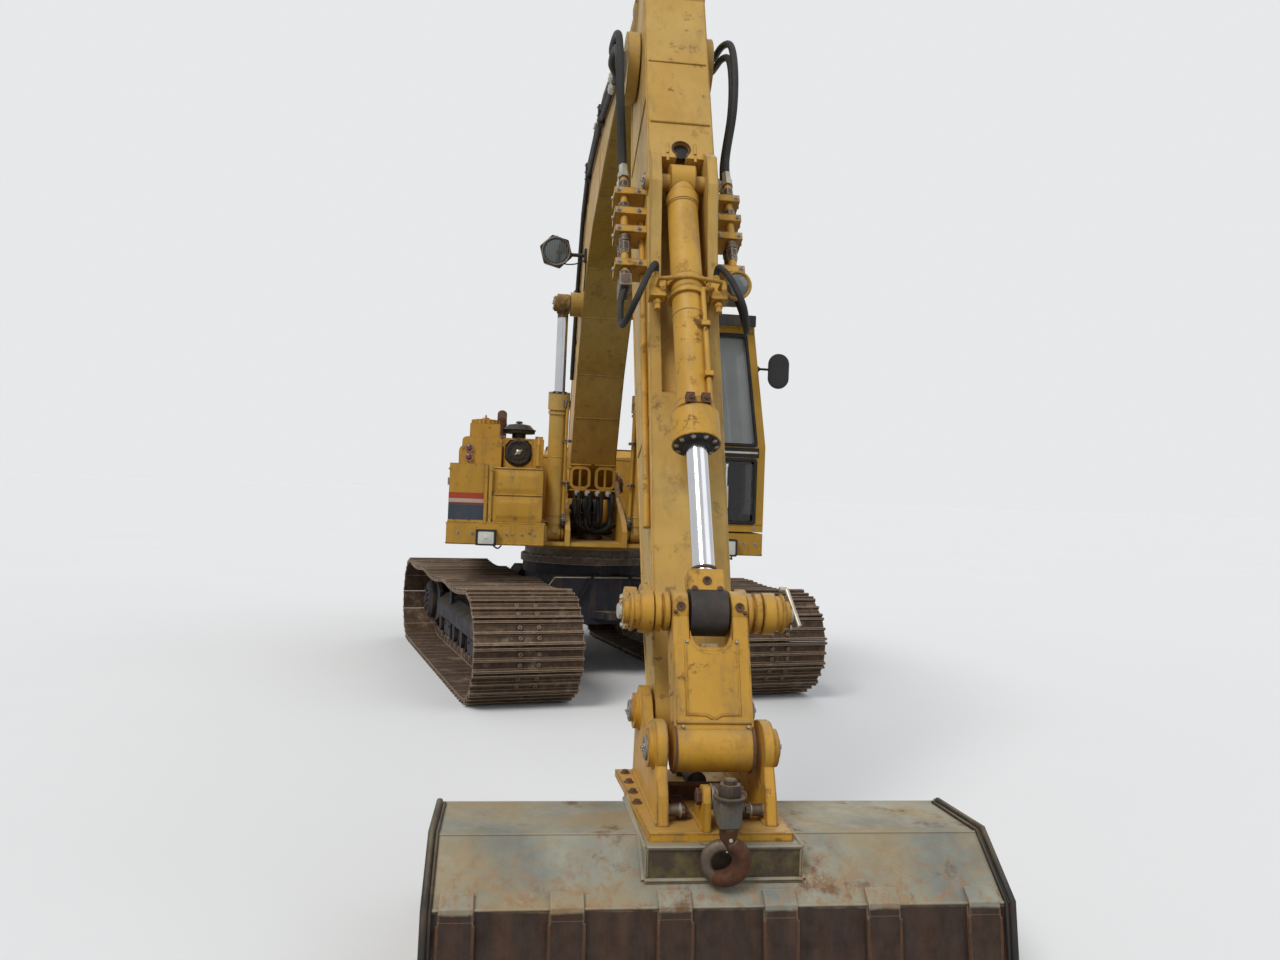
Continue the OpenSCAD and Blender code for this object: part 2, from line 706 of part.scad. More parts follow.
module tool_box() {
    top = deck_top + box_h;
    in_y = -ear_y - ear_t / 2 - 20;
    color(yellow) difference() {
        union() {
            block([box_x[0], -deck_half + 10, deck_top], [box_x[1], post_y, top]);
            block([box_x[0], post_y - 1, deck_top], [box_x[1] - step_x, in_y, top - 30]);
            // the two steps, each with a rounded nose
            for (q = [[0, top - 28, 215], [1, deck_top + 225, 190]])
                block([box_x[1] - step_x * 1.5 + q[0] * 25 - 10, post_y - 1, q[1] - q[2]],
                    [box_x[1] - step_x * 0.6 + q[0] * 25, in_y, q[1]]);
            plate(26, post_y - 10) translate([box_x[1] - 20, deck_top]) square([34, box_h]);
        }
        // the toe gap under the upper step
        block([box_x[1] - step_x + 4, post_y + 5, deck_top + 228], [box_x[1] + 30, in_y + 1, deck_top + 245]);
    }
}

cleaner_c = [-650, deck_top + 585];
module air_cleaner() {
    x0 = tank_split + 150;
    color(yellow) difference() {
        union() {
            block([x0, -770, deck_top], [tank_x[1] - 30, -ear_y - ear_t / 2 - 12, tank_top]);
            block([x0 + 10, -505, tank_top - 1], [x0 + 160, -ear_y - ear_t / 2 - 12, tank_top + 40]);
        }
        translate([tank_x[1] - 110, cleaner_c[0], cleaner_c[1]]) rotate([0, 90, 0]) cylinder(r = 122, h = 120);
    }
    color(dark) {
        translate([tank_x[1] - 110, cleaner_c[0], cleaner_c[1]]) rotate([0, 90, 0]) {
            cylinder(r = 108, h = 92);
            cylinder(r = 60, h = 104);
        }
        translate([x0 + 140, cleaner_c[0], tank_top]) {
            cylinder(r = 60, h = 90);
            translate([0, 0, 60]) rotate_extrude() polygon([[0, 0], [135, 0], [140, 30], [95, 75], [0, 90]]);
        }
    }
}

module exhaust() {
    pipe_r = 48;
    pipe_h = 372;
    color(rust) translate([-1120, -deck_half + 370, room_top]) difference() {
        union() {
            cylinder(r = 95, h = 30);
            cylinder(r = pipe_r, h = pipe_h);
            translate([0, 0, pipe_h]) sphere(pipe_r + knuckle);
            translate([0, 0, pipe_h]) rotate([0, -55, 0]) cylinder(r = pipe_r, h = 130);
        }
        translate([0, 0, pipe_h]) rotate([0, -55, 0]) translate([0, 0, 60]) cylinder(r = pipe_r - 6, h = 80);
    }
}

// Cab: a six-sided section, widest at its waist
cab_out = cab_in + cab_w;
cab_lift = 12;
cab_z = deck_top + cab_lift;
floor_t = 40;
sill_z = cab_z + 70;
head_z = cab_top - 130;
function side_y(z) = z <= cab_waist ? 0 : cab_lean * (z - cab_waist) / (cab_top - cab_waist);
cab_slant = 70;
door_edge = [cab_rear + 640, cab_front - 90];

module cab_section(inset) {
    i = inset;
    polygon([[cab_in + i, cab_z + (i > 0 ? floor_t : 0)], [cab_out - i, cab_z + (i > 0 ? floor_t : 0)],
        [cab_out - i, cab_waist], [cab_out - side_y(cab_top) - i, cab_top - i],
        [cab_in + side_y(cab_top) * 0.6 + i, cab_top - i], [cab_in + i, cab_waist]]);
}

// Side outline of the cab, leaning back at the windscreen
module cab_profile(i) {
    polygon([[cab_rear + i, cab_z - 10], [cab_front - i, cab_z - 10], [cab_front - i, cab_waist],
        [cab_front - cab_slant - i, cab_top + 10], [cab_rear + 40 + i, cab_top + 10], [cab_rear + i, cab_waist]]);
}

module cab_solid(i) {
    intersection() {
        translate([cab_rear, 0, 0]) rotate([90, 0, 90]) linear_extrude(cab_len) cab_section(i);
        plate(cab_out * 2 + 400) cab_profile(i);
    }
}

post = 75;
rail_z = [cab_waist - 105, cab_waist - 45];
door_low = cab_z + 45;
door_high = head_z + 20;

// The door's side outline, shared by the opening, the door and its glass
module door_outline(i) {
    polygon([[door_edge[0] + i, door_low + i], [door_edge[1] - i, door_low + i], [door_edge[1] - i, cab_waist],
        [door_edge[1] - i - 55, door_high - i], [door_edge[0] + i, door_high - i]]);
}

// Low and high corners of the window openings: pane under the windscreen, rear, inner side, quarter behind the door
window_boxes = [
    [[cab_front - 190, cab_in + post, sill_z], [cab_front + 10, cab_out - post, rail_z[0]]],
    [[cab_rear - 10, cab_in + 130, cab_waist - 60], [cab_rear + 190, cab_out - 190, head_z]],
    [[cab_rear + 200, cab_in - 10, cab_waist - 100], [cab_front - 270, cab_in + 170, head_z]],
    [[cab_rear + 200, cab_out - 260, cab_waist - 60], [door_edge[0] - 80, cab_out + 10, head_z]]];

module window_blocks(i) {
    for (b = window_boxes)
        block(b[0] + [i, i, i], b[1] - [i, i, i]);
    // windscreen, narrower at its top like the cab
    low = cab_waist + 10 + i;
    high = head_z - i;
    translate([cab_front - 260, 0, 0]) rotate([90, 0, 90]) linear_extrude(270)
        polygon([[cab_in + post + i, low], [cab_out - post - i, low],
            [cab_out - post - side_y(high) - i, high], [cab_in + post + side_y(high) * 0.6 + i, high]]);
}

door_pin = [door_edge[0] + door_gap / 2, cab_out + hinge_out];
door_hinge_z = [door_low + 150, cab_waist - 130];

module cab_shell() {
    color(yellow) for (z = door_hinge_z)
        translate([door_pin[0], door_pin[1], z]) hinge_fixed();
    color(yellow) difference() {
        cab_solid(0);
        cab_solid(cab_t);
        window_blocks(0);
        plate(400, cab_out) door_outline(0);
        // roof hatch rim
        block([cab_rear + 380, cab_in + 200, cab_top - cab_t / 2], [cab_rear + 980, cab_out - 210, cab_top + 1]);
    }
    color(dark) block([cab_front - cab_slant - 30, cab_in + 90, cab_top - 75], [cab_front + 20, cab_out - cab_lean - 8, cab_top + 12]);
}

pane = 6;
module cab_windows() {
    mid = cab_t / 2;
    color(glass) {
        intersection() {
            difference() {
                cab_solid(mid);
                cab_solid(mid + pane);
            }
            union() {
                window_blocks(seat_gap);
            }
        }
    }
}

module cab_door() {
    color(yellow) for (z = door_hinge_z)
        translate([door_pin[0], door_pin[1], z]) hinge_moving();
    color(yellow) difference() {
        intersection() {
            difference() {
                cab_solid(0);
                cab_solid(cab_t - 8);
            }
            plate(300, cab_out) door_outline(door_gap);
        }
        plate(320, cab_out) intersection() {
            door_outline(door_gap + 65);
            translate([cab_rear, cab_waist - 40]) square([cab_len, 2000]);
        }
        plate(320, cab_out) intersection() {
            door_outline(door_gap + 65);
            translate([cab_rear, 0]) square([cab_len, cab_waist - 110]);
        }
    }
}

module cab_door_glass() {
    color(glass) intersection() {
        difference() {
            cab_solid(18);
            cab_solid(18 + pane);
        }
        plate(300, cab_out) union() {
            intersection() {
                door_outline(door_gap + 65 + seat_gap);
                translate([cab_rear, cab_waist - 40 + seat_gap]) square([cab_len, 2000]);
            }
            intersection() {
                door_outline(door_gap + 65 + seat_gap);
                translate([cab_rear, 0]) square([cab_len, cab_waist - 110 - seat_gap]);
            }
        }
    }
}

seat_c = [cab_rear + 520, (cab_in + cab_out) / 2];
floor_z = cab_z + floor_t;

module seat() {
    color(dark) translate([seat_c[0], seat_c[1], floor_z]) {
        translate([-170, -170, 0]) cube([340, 340, 260]);
        translate([-230, -240, 260]) cube([480, 480, 130]);
        rotate([0, -10, 0]) translate([-190, -230, 330]) cube([110, 460, 560]);
    }
}

module controls() {
    color(dark) for (s = [1, -1]) {
        translate([seat_c[0] - 40, seat_c[1] + s * 300 - 42, floor_z]) cube([420, 84, 480]);
        translate([seat_c[0] + 300, seat_c[1] + s * 300, floor_z + 479]) cylinder(r = 12, h = 190);
        translate([seat_c[0] + 300, seat_c[1] + s * 300, floor_z + 660]) sphere(26);
        // travel levers at the feet
        translate([cab_front - 330, seat_c[1] + s * 70, floor_z]) {
            translate([-50, -45, 0]) cube([110, 90, 40]);
            cylinder(r = 12, h = 620);
        }
    }
}

module mirror_glass(w, h, t) {
    rotate([90, 0, 90]) linear_extrude(t) {
        square([w, h - w], center = true);
        translate([0, (h - w) / 2]) circle(w / 2);
        translate([0, -(h - w) / 2]) circle(w / 2);
    }
}

// Its arm stands on the leaning side of the cab
mirror_c = [cab_front + 60, cab_out + 60, 2530];
mirror_foot = [cab_front - 95, cab_out - side_y(2560), 2560];
mirror_tilt = atan2(cab_lean, cab_top - cab_waist);
module side_mirror() {
    color(dark) {
        translate(mirror_c) mirror_glass(150, 250, 34);
        translate(mirror_foot) rotate([mirror_tilt - 90, 0, 0]) {
            translate([0, 0, seat_gap]) cylinder(r = 24, h = 16);
            translate([0, 0, 19]) sphere(15);
        }
        tube_path([mirror_foot + [0, 20, 3], mirror_c + [10, 0, 10]], 9);
    }
}

lamp_w = 160;
lamp_h = 125;
lamp_z = deck_z + 60;
lamp_spots = [[deck_front, -879], [cab_front, 946]];
module work_lamps() {
    for (p = lamp_spots) translate([p[0] + seat_gap, p[1] - lamp_w / 2, lamp_z - lamp_h / 2]) {
        color(dark) cube([55, lamp_w, lamp_h]);
        color(steel) translate([54, 15, 15]) cube([12, lamp_w - 30, lamp_h - 30]);
    }
}

// A tube through the points, with a slight knuckle at each bend
knuckle = 1;
module tube_path(points, r) {
    for (i = [0:len(points) - 2]) {
        a = points[i];
        d = points[i + 1] - a;
        translate(a) rotate([0, acos(d[2] / norm(d)), atan2(d[1], d[0])]) cylinder(r = r, h = norm(d));
    }
    for (i = [1:len(points) - 2])
        translate(points[i]) sphere(r + knuckle);
}

module handrails() {
    $fn = 16;
    top = deck_top + box_h;
    color(yellow) {
        tube_path([[box_x[1] - 130, -ear_y - 80, top - 30], [box_x[1] - 130, -ear_y - 80, top + 170],
            [box_x[1] - 180, -ear_y - 80, top + 220], [box_x[0] + 110, -ear_y - 80, top + 220],
            [box_x[0] + 60, -ear_y - 80, top + 170], [box_x[0] + 60, -ear_y - 80, top - 30]], 13);
        tube_path([[cab_rear - 60, cab_out - 70, deck_top], [cab_rear - 60, cab_out - 70, deck_top + 900],
            [cab_rear - 160, cab_out - 70, deck_top + 950], [cab_rear - 420, cab_out - 70, deck_top + 950],
            [cab_rear - 480, cab_out - 70, deck_top + 900], [cab_rear - 480, cab_out - 70, deck_top]], 15);
    }
}

// A flat ring with rounded corners in Y and Z, d thick along X
module rounded_square(w, h, r) {
    square([w - 2 * r, h], center = true);
    square([w, h - 2 * r], center = true);
    for (y = [-1, 1], z = [-1, 1])
        translate([y * (w / 2 - r), z * (h / 2 - r)]) circle(r);
}

module guard_loop(w, h, r, d) {
    rotate([90, 0, 90]) linear_extrude(d) difference() {
        rounded_square(w, h, r);
        rounded_square(w - 2 * d, h - 2 * d, r - d);
    }
}

// Boom and stick places at rest, in X and Z
stick_tip = [5450, 760];
along = [sin(stick_lean), -cos(stick_lean)];
front = [cos(stick_lean), sin(stick_lean)];
stick_foot = stick_tip - stick_len * along;
// place in the plane of the stick: u from its boom pin towards its tip, v to its front
function on_stick(q) = stick_foot + q[0] * along + q[1] * front;
boom_eye = [1100, 3050];
stick_cyl_base = [1450, 4350];
crank = on_stick([-614, 430]);
bucket_cyl_base = on_stick([934, 245]);
rocker_foot = on_stick([stick_len - 410, -60]);
link_top = on_stick([stick_len - 267, 360]);
link_low = [5840, 725];

module at_stick() {
    translate(stick_foot) rotate(stick_lean - 90) children();
}

fork_r = 480;
fork_gap = 8;

module boom() {
    outline = [boom_heel, boom_knee, [640, 2180], [860, 2520], [1230, 2930], [1600, 3240], [2100, 3450], [2900, 3610],
        [3560, 3720], [stick_foot[0] - 150, stick_foot[1] - 125], [stick_foot[0], stick_foot[1] - 165],
        [stick_foot[0] + 90, stick_foot[1] + 130],
        [3700, 3930], [3300, 4070], [2600, 4180], [1900, 4180], [1400, 4080], [950, 3830], [500, 3350],
        [130, 2700], [-110, 2150], [-135, 1640]];
    color(yellow) difference() {
        union() {
            plate(boom_w) polygon(outline);
            bar(foot, 130, foot_w);
            bar(stick_foot, 165, boom_w + 40);
            bar(boom_eye, 95, 2 * (cyl_y - eye_w / 2 - pass));
            // bracket of the stick cylinder
            pair(40, stick_cyl_r + 45) {
                polygon([[1120, 3900], [stick_cyl_base[0] - 105, stick_cyl_base[1]], [stick_cyl_base[0] + 105, stick_cyl_base[1]],
                    [1900, 4150]]);
                translate(stick_cyl_base) circle(110);
            }
            bar(stick_cyl_base, pin_r, 2 * (stick_cyl_r + 80));
        }
        bar(foot, pin_r + fit, foot_w + 2);
        // fork at the tip, open for the stick
        bar(stick_foot, fork_r, stick_w + 2 * fork_gap);
    }
    color(yellow) bar(stick_foot, pin_r, boom_w + 80);
}

// Hose guards that hang from the boom's foot, with the hose fittings under them
boom_heel = [130, 1560];
boom_knee = [420, 1800];
guard_x = 400;
guard_w = 182;
guard_h = 200;
guard_t = 26;
guard_y = 109;
guard_z = boom_knee[1] - 125;
module hose_guards() {
    d = unit(boom_knee - boom_heel);
    foot_line = [boom_heel + 200 * d, boom_knee - 4 * d];
    plate_z0 = guard_z - guard_h / 2 - 12;
    color(yellow) {
        for (s = [1, -1])
            translate([guard_x, s * guard_y, guard_z]) guard_loop(guard_w, guard_h, 55, guard_t);
        pair(guard_w, guard_y)
            polygon(concat(shifted(foot_line, seat_gap), reversed(shifted(foot_line, 16))));
        block([guard_x - 25, -guard_y - guard_w / 2, plate_z0], [guard_x + 35, guard_y + guard_w / 2, plate_z0 + 14]);
    }
    for (i = [-1.5:1:1.5])
        translate([guard_x - 40, i * 90, plate_z0 - 22]) rotate([0, 90, 0]) {
            color(steel) cylinder(r = 24, h = 90);
            color(dark) cylinder(r = 17, h = 106);
        }
}

boom_pipe_end = [3500, 3880];
pipe_y = boom_w / 2 + 22;
pipe_step = 31;
module boom_pipes() {
    path = [[380, 2560], [700, 3180], [1150, 3740], [1600, 3960], [2700, 3980], boom_pipe_end];
    for (s = [1, -1], k = [-1, 1])
        color(dark) tube_path([for (p = path) [p[0], s * pipe_y, p[1] + k * pipe_step]], hose_r);
    color(yellow) for (s = [1, -1], p = [[700, 3180], [1600, 3960], [2700, 3980]])
        translate([p[0] - 30, s > 0 ? boom_w / 2 : -boom_w / 2 - 44, p[1] - 62]) cube([60, 44, 124]);
}

// Hoses from the boom's pipes round the joint to the tubes on the stick
hose_r = 17;
hose_y = 262;
stick_tube_y = 240;
stick_tube_v = 100;
stick_tube_u = 830;
hose_end_gap = 32;
module jumper_hoses() {
    $fn = 12;
    path = [boom_pipe_end + [seat_gap, 0], [3700, 3855], [3950, 3810], [4200, 3775], [4400, 3690], [4510, 3530], [4540, 3340],
        on_stick([stick_tube_u - 190, stick_tube_v]), on_stick([stick_tube_u - hose_end_gap, stick_tube_v])];
    out = [pipe_y, pipe_y, hose_y, hose_y, hose_y, hose_y, hose_y, stick_tube_y, stick_tube_y];
    color(dark) for (s = [1, -1], side = [-pipe_step, pipe_step]) {
        line = shifted(path, side);
        start = path[0] - [0, side];
        tube_path([for (i = [0:len(line) - 1]) let (q = i == 0 ? start : line[i]) [q[0], s * out[i], q[1]]], hose_r);
    }
}

module round_lamp(r, d) {
    rotate([0, 90, 0]) rotate_extrude() polygon([[0, 0], [r * 0.45, 0], [r, d * 0.55], [r, d], [0, d]]);
}

module boom_lamp() {
    stem = 225;
    c = [1456, -boom_w / 2 - stem - 15, 3356];
    color(dark) {
        translate(c) round_lamp(105, 110);
        bar([c[0] + 30, c[2]], 14, stem, -boom_w / 2 - stem / 2 - 1);
    }
    color(yellow) block([c[0] - 15, -boom_w / 2 - 24, c[2] - 45], [c[0] + 75, -boom_w / 2, c[2] + 45]);
}

// Hydraulic cylinder: the barrel turns on its base pin, the rod slides in it
module barrel(base, eye, r, tube_len, rod_rad, w, eye_rad, base_pin, flange = 13) {
    d = unit(eye - base);
    difference() {
        union() {
            bar(base, eye_rad, w);
            rod(base, base + d * tube_len, r);
            // gland and base collar
            rod(base + d * (tube_len - 130), base + d * tube_len, r + flange);
            rod(base + d * (tube_len - 165), base + d * (tube_len - 145), r + 9);
            rod(base + d * (eye_rad + 4), base + d * (eye_rad + 60), r + 6);
        }
        bar(base, base_pin + fit, w + 2);
        rod(base + d * (eye_rad + 70), base + d * (tube_len + 1), rod_rad + seat_gap);
        for (s = [1, -1])
            bar(base, r + 30, r, s * (w / 2 + r / 2));
    }
}

module piston_rod(base, eye, r, start, w, eye_rad) {
    d = unit(eye - base);
    rod(base + d * start, eye - d * (eye_rad - 12), r);
    bar(eye, eye_rad, w);
}

boom_tube = 1130;
module boom_barrels() {
    color(yellow) for (s = [1, -1]) translate([0, s * cyl_y, 0])
        barrel(cyl_foot, boom_eye, boom_cyl_r, boom_tube, rod_r, eye_w, 68, pin_r - 5);
}

module boom_rods() {
    for (s = [1, -1]) translate([0, s * cyl_y, 0]) {
        color(steel) piston_rod(cyl_foot, boom_eye, rod_r, 690, eye_w, 78);
        color(yellow) bar(boom_eye, 62, 22, s * (eye_w / 2 + 10));
    }
}

stick_tube = 1960;
module stick_barrel() {
    color(yellow) barrel(stick_cyl_base, crank, stick_cyl_r, stick_tube, rod_r, 2 * stick_cyl_r + 30, 90, pin_r);
}

module stick_rod() {
    color(steel) piston_rod(stick_cyl_base, crank, rod_r, 820, crank_gap - 2 * pass, 88);
}

crank_gap = 150;
ear_edge = 45;
tip_boss = 88;

// Stick outline in its own plane: u along it, v to its front
module stick_side() {
    polygon([[-720, 470], [-560, 530], [-170, 285], [930, 285], [1010, 250], [1500, 190], [stick_len - 900, 150],
        [stick_len - 400, 120], [stick_len - 120, tip_boss - 5], [stick_len, tip_boss - 5], [stick_len, -tip_boss],
        [stick_len - 80, -tip_boss - 20], [stick_len - 440, -185], [1700, -290], [700, -330], [120, -250], [-170, -120],
        [-420, 110]]);
    translate([-614, 430]) circle(115);
    circle(175);
    translate([stick_len, 0]) circle(tip_boss);
}

// u along the stick, y across it, v as height
module on_front(u) {
    p = on_stick([u, 0]);
    translate([p[0], 0, p[1]]) rotate([0, 90 - stick_lean, 0]) children();
}

module stick() {
    inner_w = stick_w - 2 * ear_edge;
    color(yellow) difference() {
        union() {
            plate(stick_w) at_stick() stick_side();
            // side plates that carry the bucket cylinder
            pair(ear_edge, stick_w / 2 - ear_edge / 2) at_stick()
                polygon([[780, 280], [860, 345], [1010, 345], [1250, 270], [1700, 170], [1000, 100]]);
            bar(rocker_foot, 95, stick_w + 60);
        }
        bar(stick_foot, pin_r + fit, stick_w + 2);
        bar(stick_tip, pin_r - 5 + fit, stick_w + 70);
        // slot for the eye of the stick cylinder
        plate(crank_gap) at_stick() polygon([[-760, 300], [-480, 300], [-420, 420], [-480, 620], [-760, 620]]);
        // recess in which the bucket cylinder lies
        plate(inner_w) at_stick() polygon([[820, 330], [830, 120], [1000, 96], [1900, 90], [2100, 400], [820, 400]]);
        // keyhole over the cylinder's base
        on_front(770) {
            translate([0, 0, 200]) cylinder(r = 38, h = 100);
            block([0, -22, 200], [80, 22, 300]);
        }
    }
    color(steel) {
        bar(rocker_foot, 35, 2 * (rocker_y + rocker_t / 2 + 8));
        bar(bucket_cyl_base, 38, stick_w + 30);
        for (s = [1, -1])
            bar(crank, 52, 18, s * (stick_w / 2 + 9 - 1));
    }
}

// Tubes on both sides of the stick, held by clamp plates
module stick_pipes() {
    clamps = [900, 1010, 1110, 1290];
    clamp_w = stick_tube_y + 45 - stick_w / 2;
    color(yellow) for (s = [1, -1], u = clamps)
        plate(clamp_w, s * (stick_w + clamp_w) / 2) at_stick() translate([u, stick_tube_v - 60]) square([36, 120]);
    color(dark) for (s = [1, -1], k = [-1, 1])
        rod(on_stick([stick_tube_u + seat_gap, stick_tube_v + k * pipe_step]),
            on_stick([1370, stick_tube_v + k * pipe_step]), hose_r, s * stick_tube_y);
    color(dark) rod(on_stick([1000, 100]), on_stick([stick_len - 700, 60]), 14, -stick_w / 2 - 14 - seat_gap);
}

module stick_lamp() {
    p = on_stick([1430, 165]);
    color(yellow) {
        translate([p[0] + 10, stick_w / 2 + 72, p[1]]) round_lamp(58, 100);
        block([p[0] + 20, stick_w / 2, p[1] - 12], [p[0] + 50, stick_w / 2 + 40, p[1] + 12]);
    }
}

bucket_tube = 1330;
bucket_eye_w = 130;
module bucket_barrel() {
    color(yellow) barrel(bucket_cyl_base, link_top, bucket_cyl_r, bucket_tube, bucket_rod_r, 110, 80, 38, 28);
}

module bucket_rod() {
    color(steel) piston_rod(bucket_cyl_base, link_top, bucket_rod_r, 720, bucket_eye_w, 82);
}

rocker_y = 215;
rocker_t = 44;

module rockers() {
    d = link_top - rocker_foot;
    n = 36 * right_of(unit(d));
    color(yellow) for (s = [1, -1]) difference() {
        union() {
            plate(rocker_t, s * rocker_y) {
                polygon([rocker_foot + 1.9 * n, link_top + 1.6 * n, link_top - 1.6 * n, rocker_foot - 1.9 * n]);
                translate(rocker_foot) circle(82);
                translate(link_top) circle(73);
            }
            bar(link_top, 62, 26, s * (rocker_y + rocker_t / 2 + 12));
            bar(link_top, 38, 110, s * (rocker_y - rocker_t / 2 - 52));
        }
        bar(rocker_foot, 35 + fit, rocker_t + 4, s * rocker_y);
    }
}

link_w = 280;
link_ear = 55;
module power_link() {
    d = link_low - link_top;
    t = unit(d);
    n = right_of(t);
    a = link_top;
    color(yellow) difference() {
        union() {
            pair(link_ear, bucket_eye_w / 2 + pass + link_ear / 2 + 4) {
                translate(link_top) circle(76);
                polygon([a + 54 * n, a + 0.62 * d + 50 * n, a + 0.62 * d - 62 * n, a - 70 * n]);
            }
            plate(link_w - 24) polygon([a + 130 * t + 50 * n, link_low - 20 * t + 50 * n, link_low - 20 * t - 60 * n, a + 130 * t - 66 * n]);
            bar(link_low, 78, link_w - 12);
        }
        bar(link_top, 38 + fit, 2 * link_w);
        // slot for the cylinder's eye
        bar(link_top, 150, bucket_eye_w + 2 * pass);
    }
}

// Quick coupler
plate_z = 512;
ear_in = 158;
coupler_ear = 36;
coupler_w = 470;
hook_pin = link_low + [145, -117];

module quick_coupler() {
    tip = stick_tip;
    low = link_low;
    rear = tip[0] - 120;
    nose = low[0] + 210;
    ear_outline = [[tip[0] - 120, plate_z - 20], [low[0] + 150, plate_z - 20], [low[0] + 120, low[1] - 125],
        [low[0] + 75, low[1] - 35], [low[0] + 30, low[1] + 75], [low[0] - 40, low[1] + 85], [tip[0] + 150, tip[1] - 25],
        [tip[0] + 70, tip[1] + 70], [tip[0] - 50, tip[1] + 70], [tip[0] - 90, tip[1] - 20]];
    color(yellow) difference() {
        union() {
            translate([0, 0, plate_z - 25]) linear_extrude(25)
                polygon([[rear, -coupler_w / 2 - 25], [nose, -coupler_w / 2 + 8], [nose, coupler_w / 2 - 8], [rear, coupler_w / 2 + 25]]);
            pair(coupler_ear, ear_in + coupler_ear / 2) {
                polygon(ear_outline);
                translate(stick_tip) circle(92);
                translate(link_low) circle(88);
            }
            pair(22, ear_in + coupler_ear + 11) {
                translate(stick_tip) circle(64);
                translate(link_low) circle(62);
            }
            // lugs of the lifting hook
            pair(24, 46) polygon([[hook_pin[0] - 150, plate_z - 5], [hook_pin[0] + 55, plate_z - 5], [hook_pin[0] + 50, hook_pin[1] - 8],
                hook_pin + [25, 40], hook_pin + [-20, 32], hook_pin + [-105, -60]]);
        }
        bar(hook_pin, 17, 200);
    }
    color(steel) bar(stick_tip, pin_r - 5, 2 * (ear_in + coupler_ear + 30));
}

hook_x = 150;
module lifting_hook() {
    p = hook_pin;
    color(rust) {
        bar(p, 16.9, 110);
        difference() {
            union() {
                bar(p, 40, 60);
                plate(44) polygon([[p[0], p[1] - 36], [p[0] + hook_x + 30, p[1] - 30], [p[0] + hook_x + 30, p[1] + 24], [p[0], p[1] + 38]]);
                translate([p[0] + hook_x, 0, p[1] - 90]) cylinder(r = 24, h = 130);
                translate([p[0] + hook_x, 0, p[1] + 38]) cylinder(r = 32, h = 30, $fn = 6);
                translate([p[0] + hook_x, -18, p[1] - 150]) rotate([90, 0, 90])
                    rotate_extrude(angle = 270) translate([50, 0]) circle(18);
            }
            bar(p, 16.8, 20, 60);
        }
    }
}

// Ditching bucket: outline from the lip over the back, heel and floor to the cutting edge
bucket_line = [[5600, 470], [5960, 484], [6165, 335], [6200, 150], [6150, 50], [6040, 2], [5150, 2]];
rim = 16;

module bucket() {
    half = bucket_w / 2;
    side = concat([[5610, 470 + rim], [5966, 484 + rim]], [[6165 + rim, 340], [6200 + rim, 146], [6160, 40], [6046, 0]],
        [[5150, 0], [5150, 60], [5420, 270]]);
    strips = [for (i = [2:4]) bucket_line[i]];
    color(rust) {
        plate(bucket_w - 30) polygon(strip(bucket_line, bucket_t));
        pair(20, half - 10) polygon(side);
        // cutting edge
        plate(bucket_w) polygon([[5080, 0], [5200, 0], [5200, 26], [5130, 26]]);
        // wear strips on the heel
        for (i = [0:strip_count - 1])
            plate(strip_w, -half + 70 + strip_w / 2 - 20 + i * (bucket_w - 100 - strip_w) / (strip_count - 1))
                polygon(concat(shifted(strips, bucket_t / 3), reversed(shifted(strips, -13))));
        // adapter box under the coupler
        plate(490) polygon([[5560, 462], [5560, plate_z - 25 - seat_gap], [6095, plate_z - 25 - seat_gap], [6095, 378], [5955, 476]]);
    }
}

car_body();
swing_bearing();
on_side(-1) track_frame();  // track_frame_right
on_side(1) track_frame();  // track_frame_left
on_side(-1) track();  // track_right
on_side(1) track();  // track_left
color(dark) { on_side(-1) idler(); on_side(1) idler(); }  // idlers
color(dark) { on_side(-1) sprocket(); on_side(1) sprocket(); }  // sprockets
color(dark) { on_side(-1) roller_set(); on_side(1) roller_set(); }  // rollers
main_frame();
counterweight();
engine_housing();
engine_block();
radiator();
fuel_tank();
hydraulic_tank();
tool_box();
air_cleaner();
exhaust();
cab_shell();
cab_windows();
seat();
controls();
side_mirror();
work_lamps();
handrails();
hose_guards();
cab_door();
cab_door_glass();
engine_hood();
pump_door();
radiator_door();
boom();
boom_pipes();
boom_lamp();
jumper_hoses();
boom_barrels();
boom_rods();
stick_barrel();
stick_rod();
stick();
stick_pipes();
stick_lamp();
bucket_barrel();
bucket_rod();
rockers();
power_link();
quick_coupler();
lifting_hook();
bucket();
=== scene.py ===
import math

import bmesh
import bpy
from mathutils import Matrix, Vector


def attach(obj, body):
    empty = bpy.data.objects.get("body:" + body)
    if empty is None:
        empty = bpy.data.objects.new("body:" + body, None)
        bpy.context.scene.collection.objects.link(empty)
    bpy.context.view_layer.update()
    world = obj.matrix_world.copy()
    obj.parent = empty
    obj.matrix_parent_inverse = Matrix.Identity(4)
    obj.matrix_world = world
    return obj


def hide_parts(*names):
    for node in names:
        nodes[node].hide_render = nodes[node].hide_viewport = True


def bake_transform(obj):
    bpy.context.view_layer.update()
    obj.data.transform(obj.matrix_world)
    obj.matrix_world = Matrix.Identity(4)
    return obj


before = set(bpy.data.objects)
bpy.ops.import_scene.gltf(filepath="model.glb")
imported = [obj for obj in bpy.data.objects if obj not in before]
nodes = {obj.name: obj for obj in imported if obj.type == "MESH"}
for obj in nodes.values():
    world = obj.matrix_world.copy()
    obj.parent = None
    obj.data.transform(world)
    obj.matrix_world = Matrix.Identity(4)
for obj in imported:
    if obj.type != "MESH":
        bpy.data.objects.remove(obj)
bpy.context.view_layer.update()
X, Y, Z = Vector((1, 0, 0)), Vector((0, 1, 0)), Vector((0, 0, 1))
SIDES = ((-1, "right"), (1, "left"))

# Materials


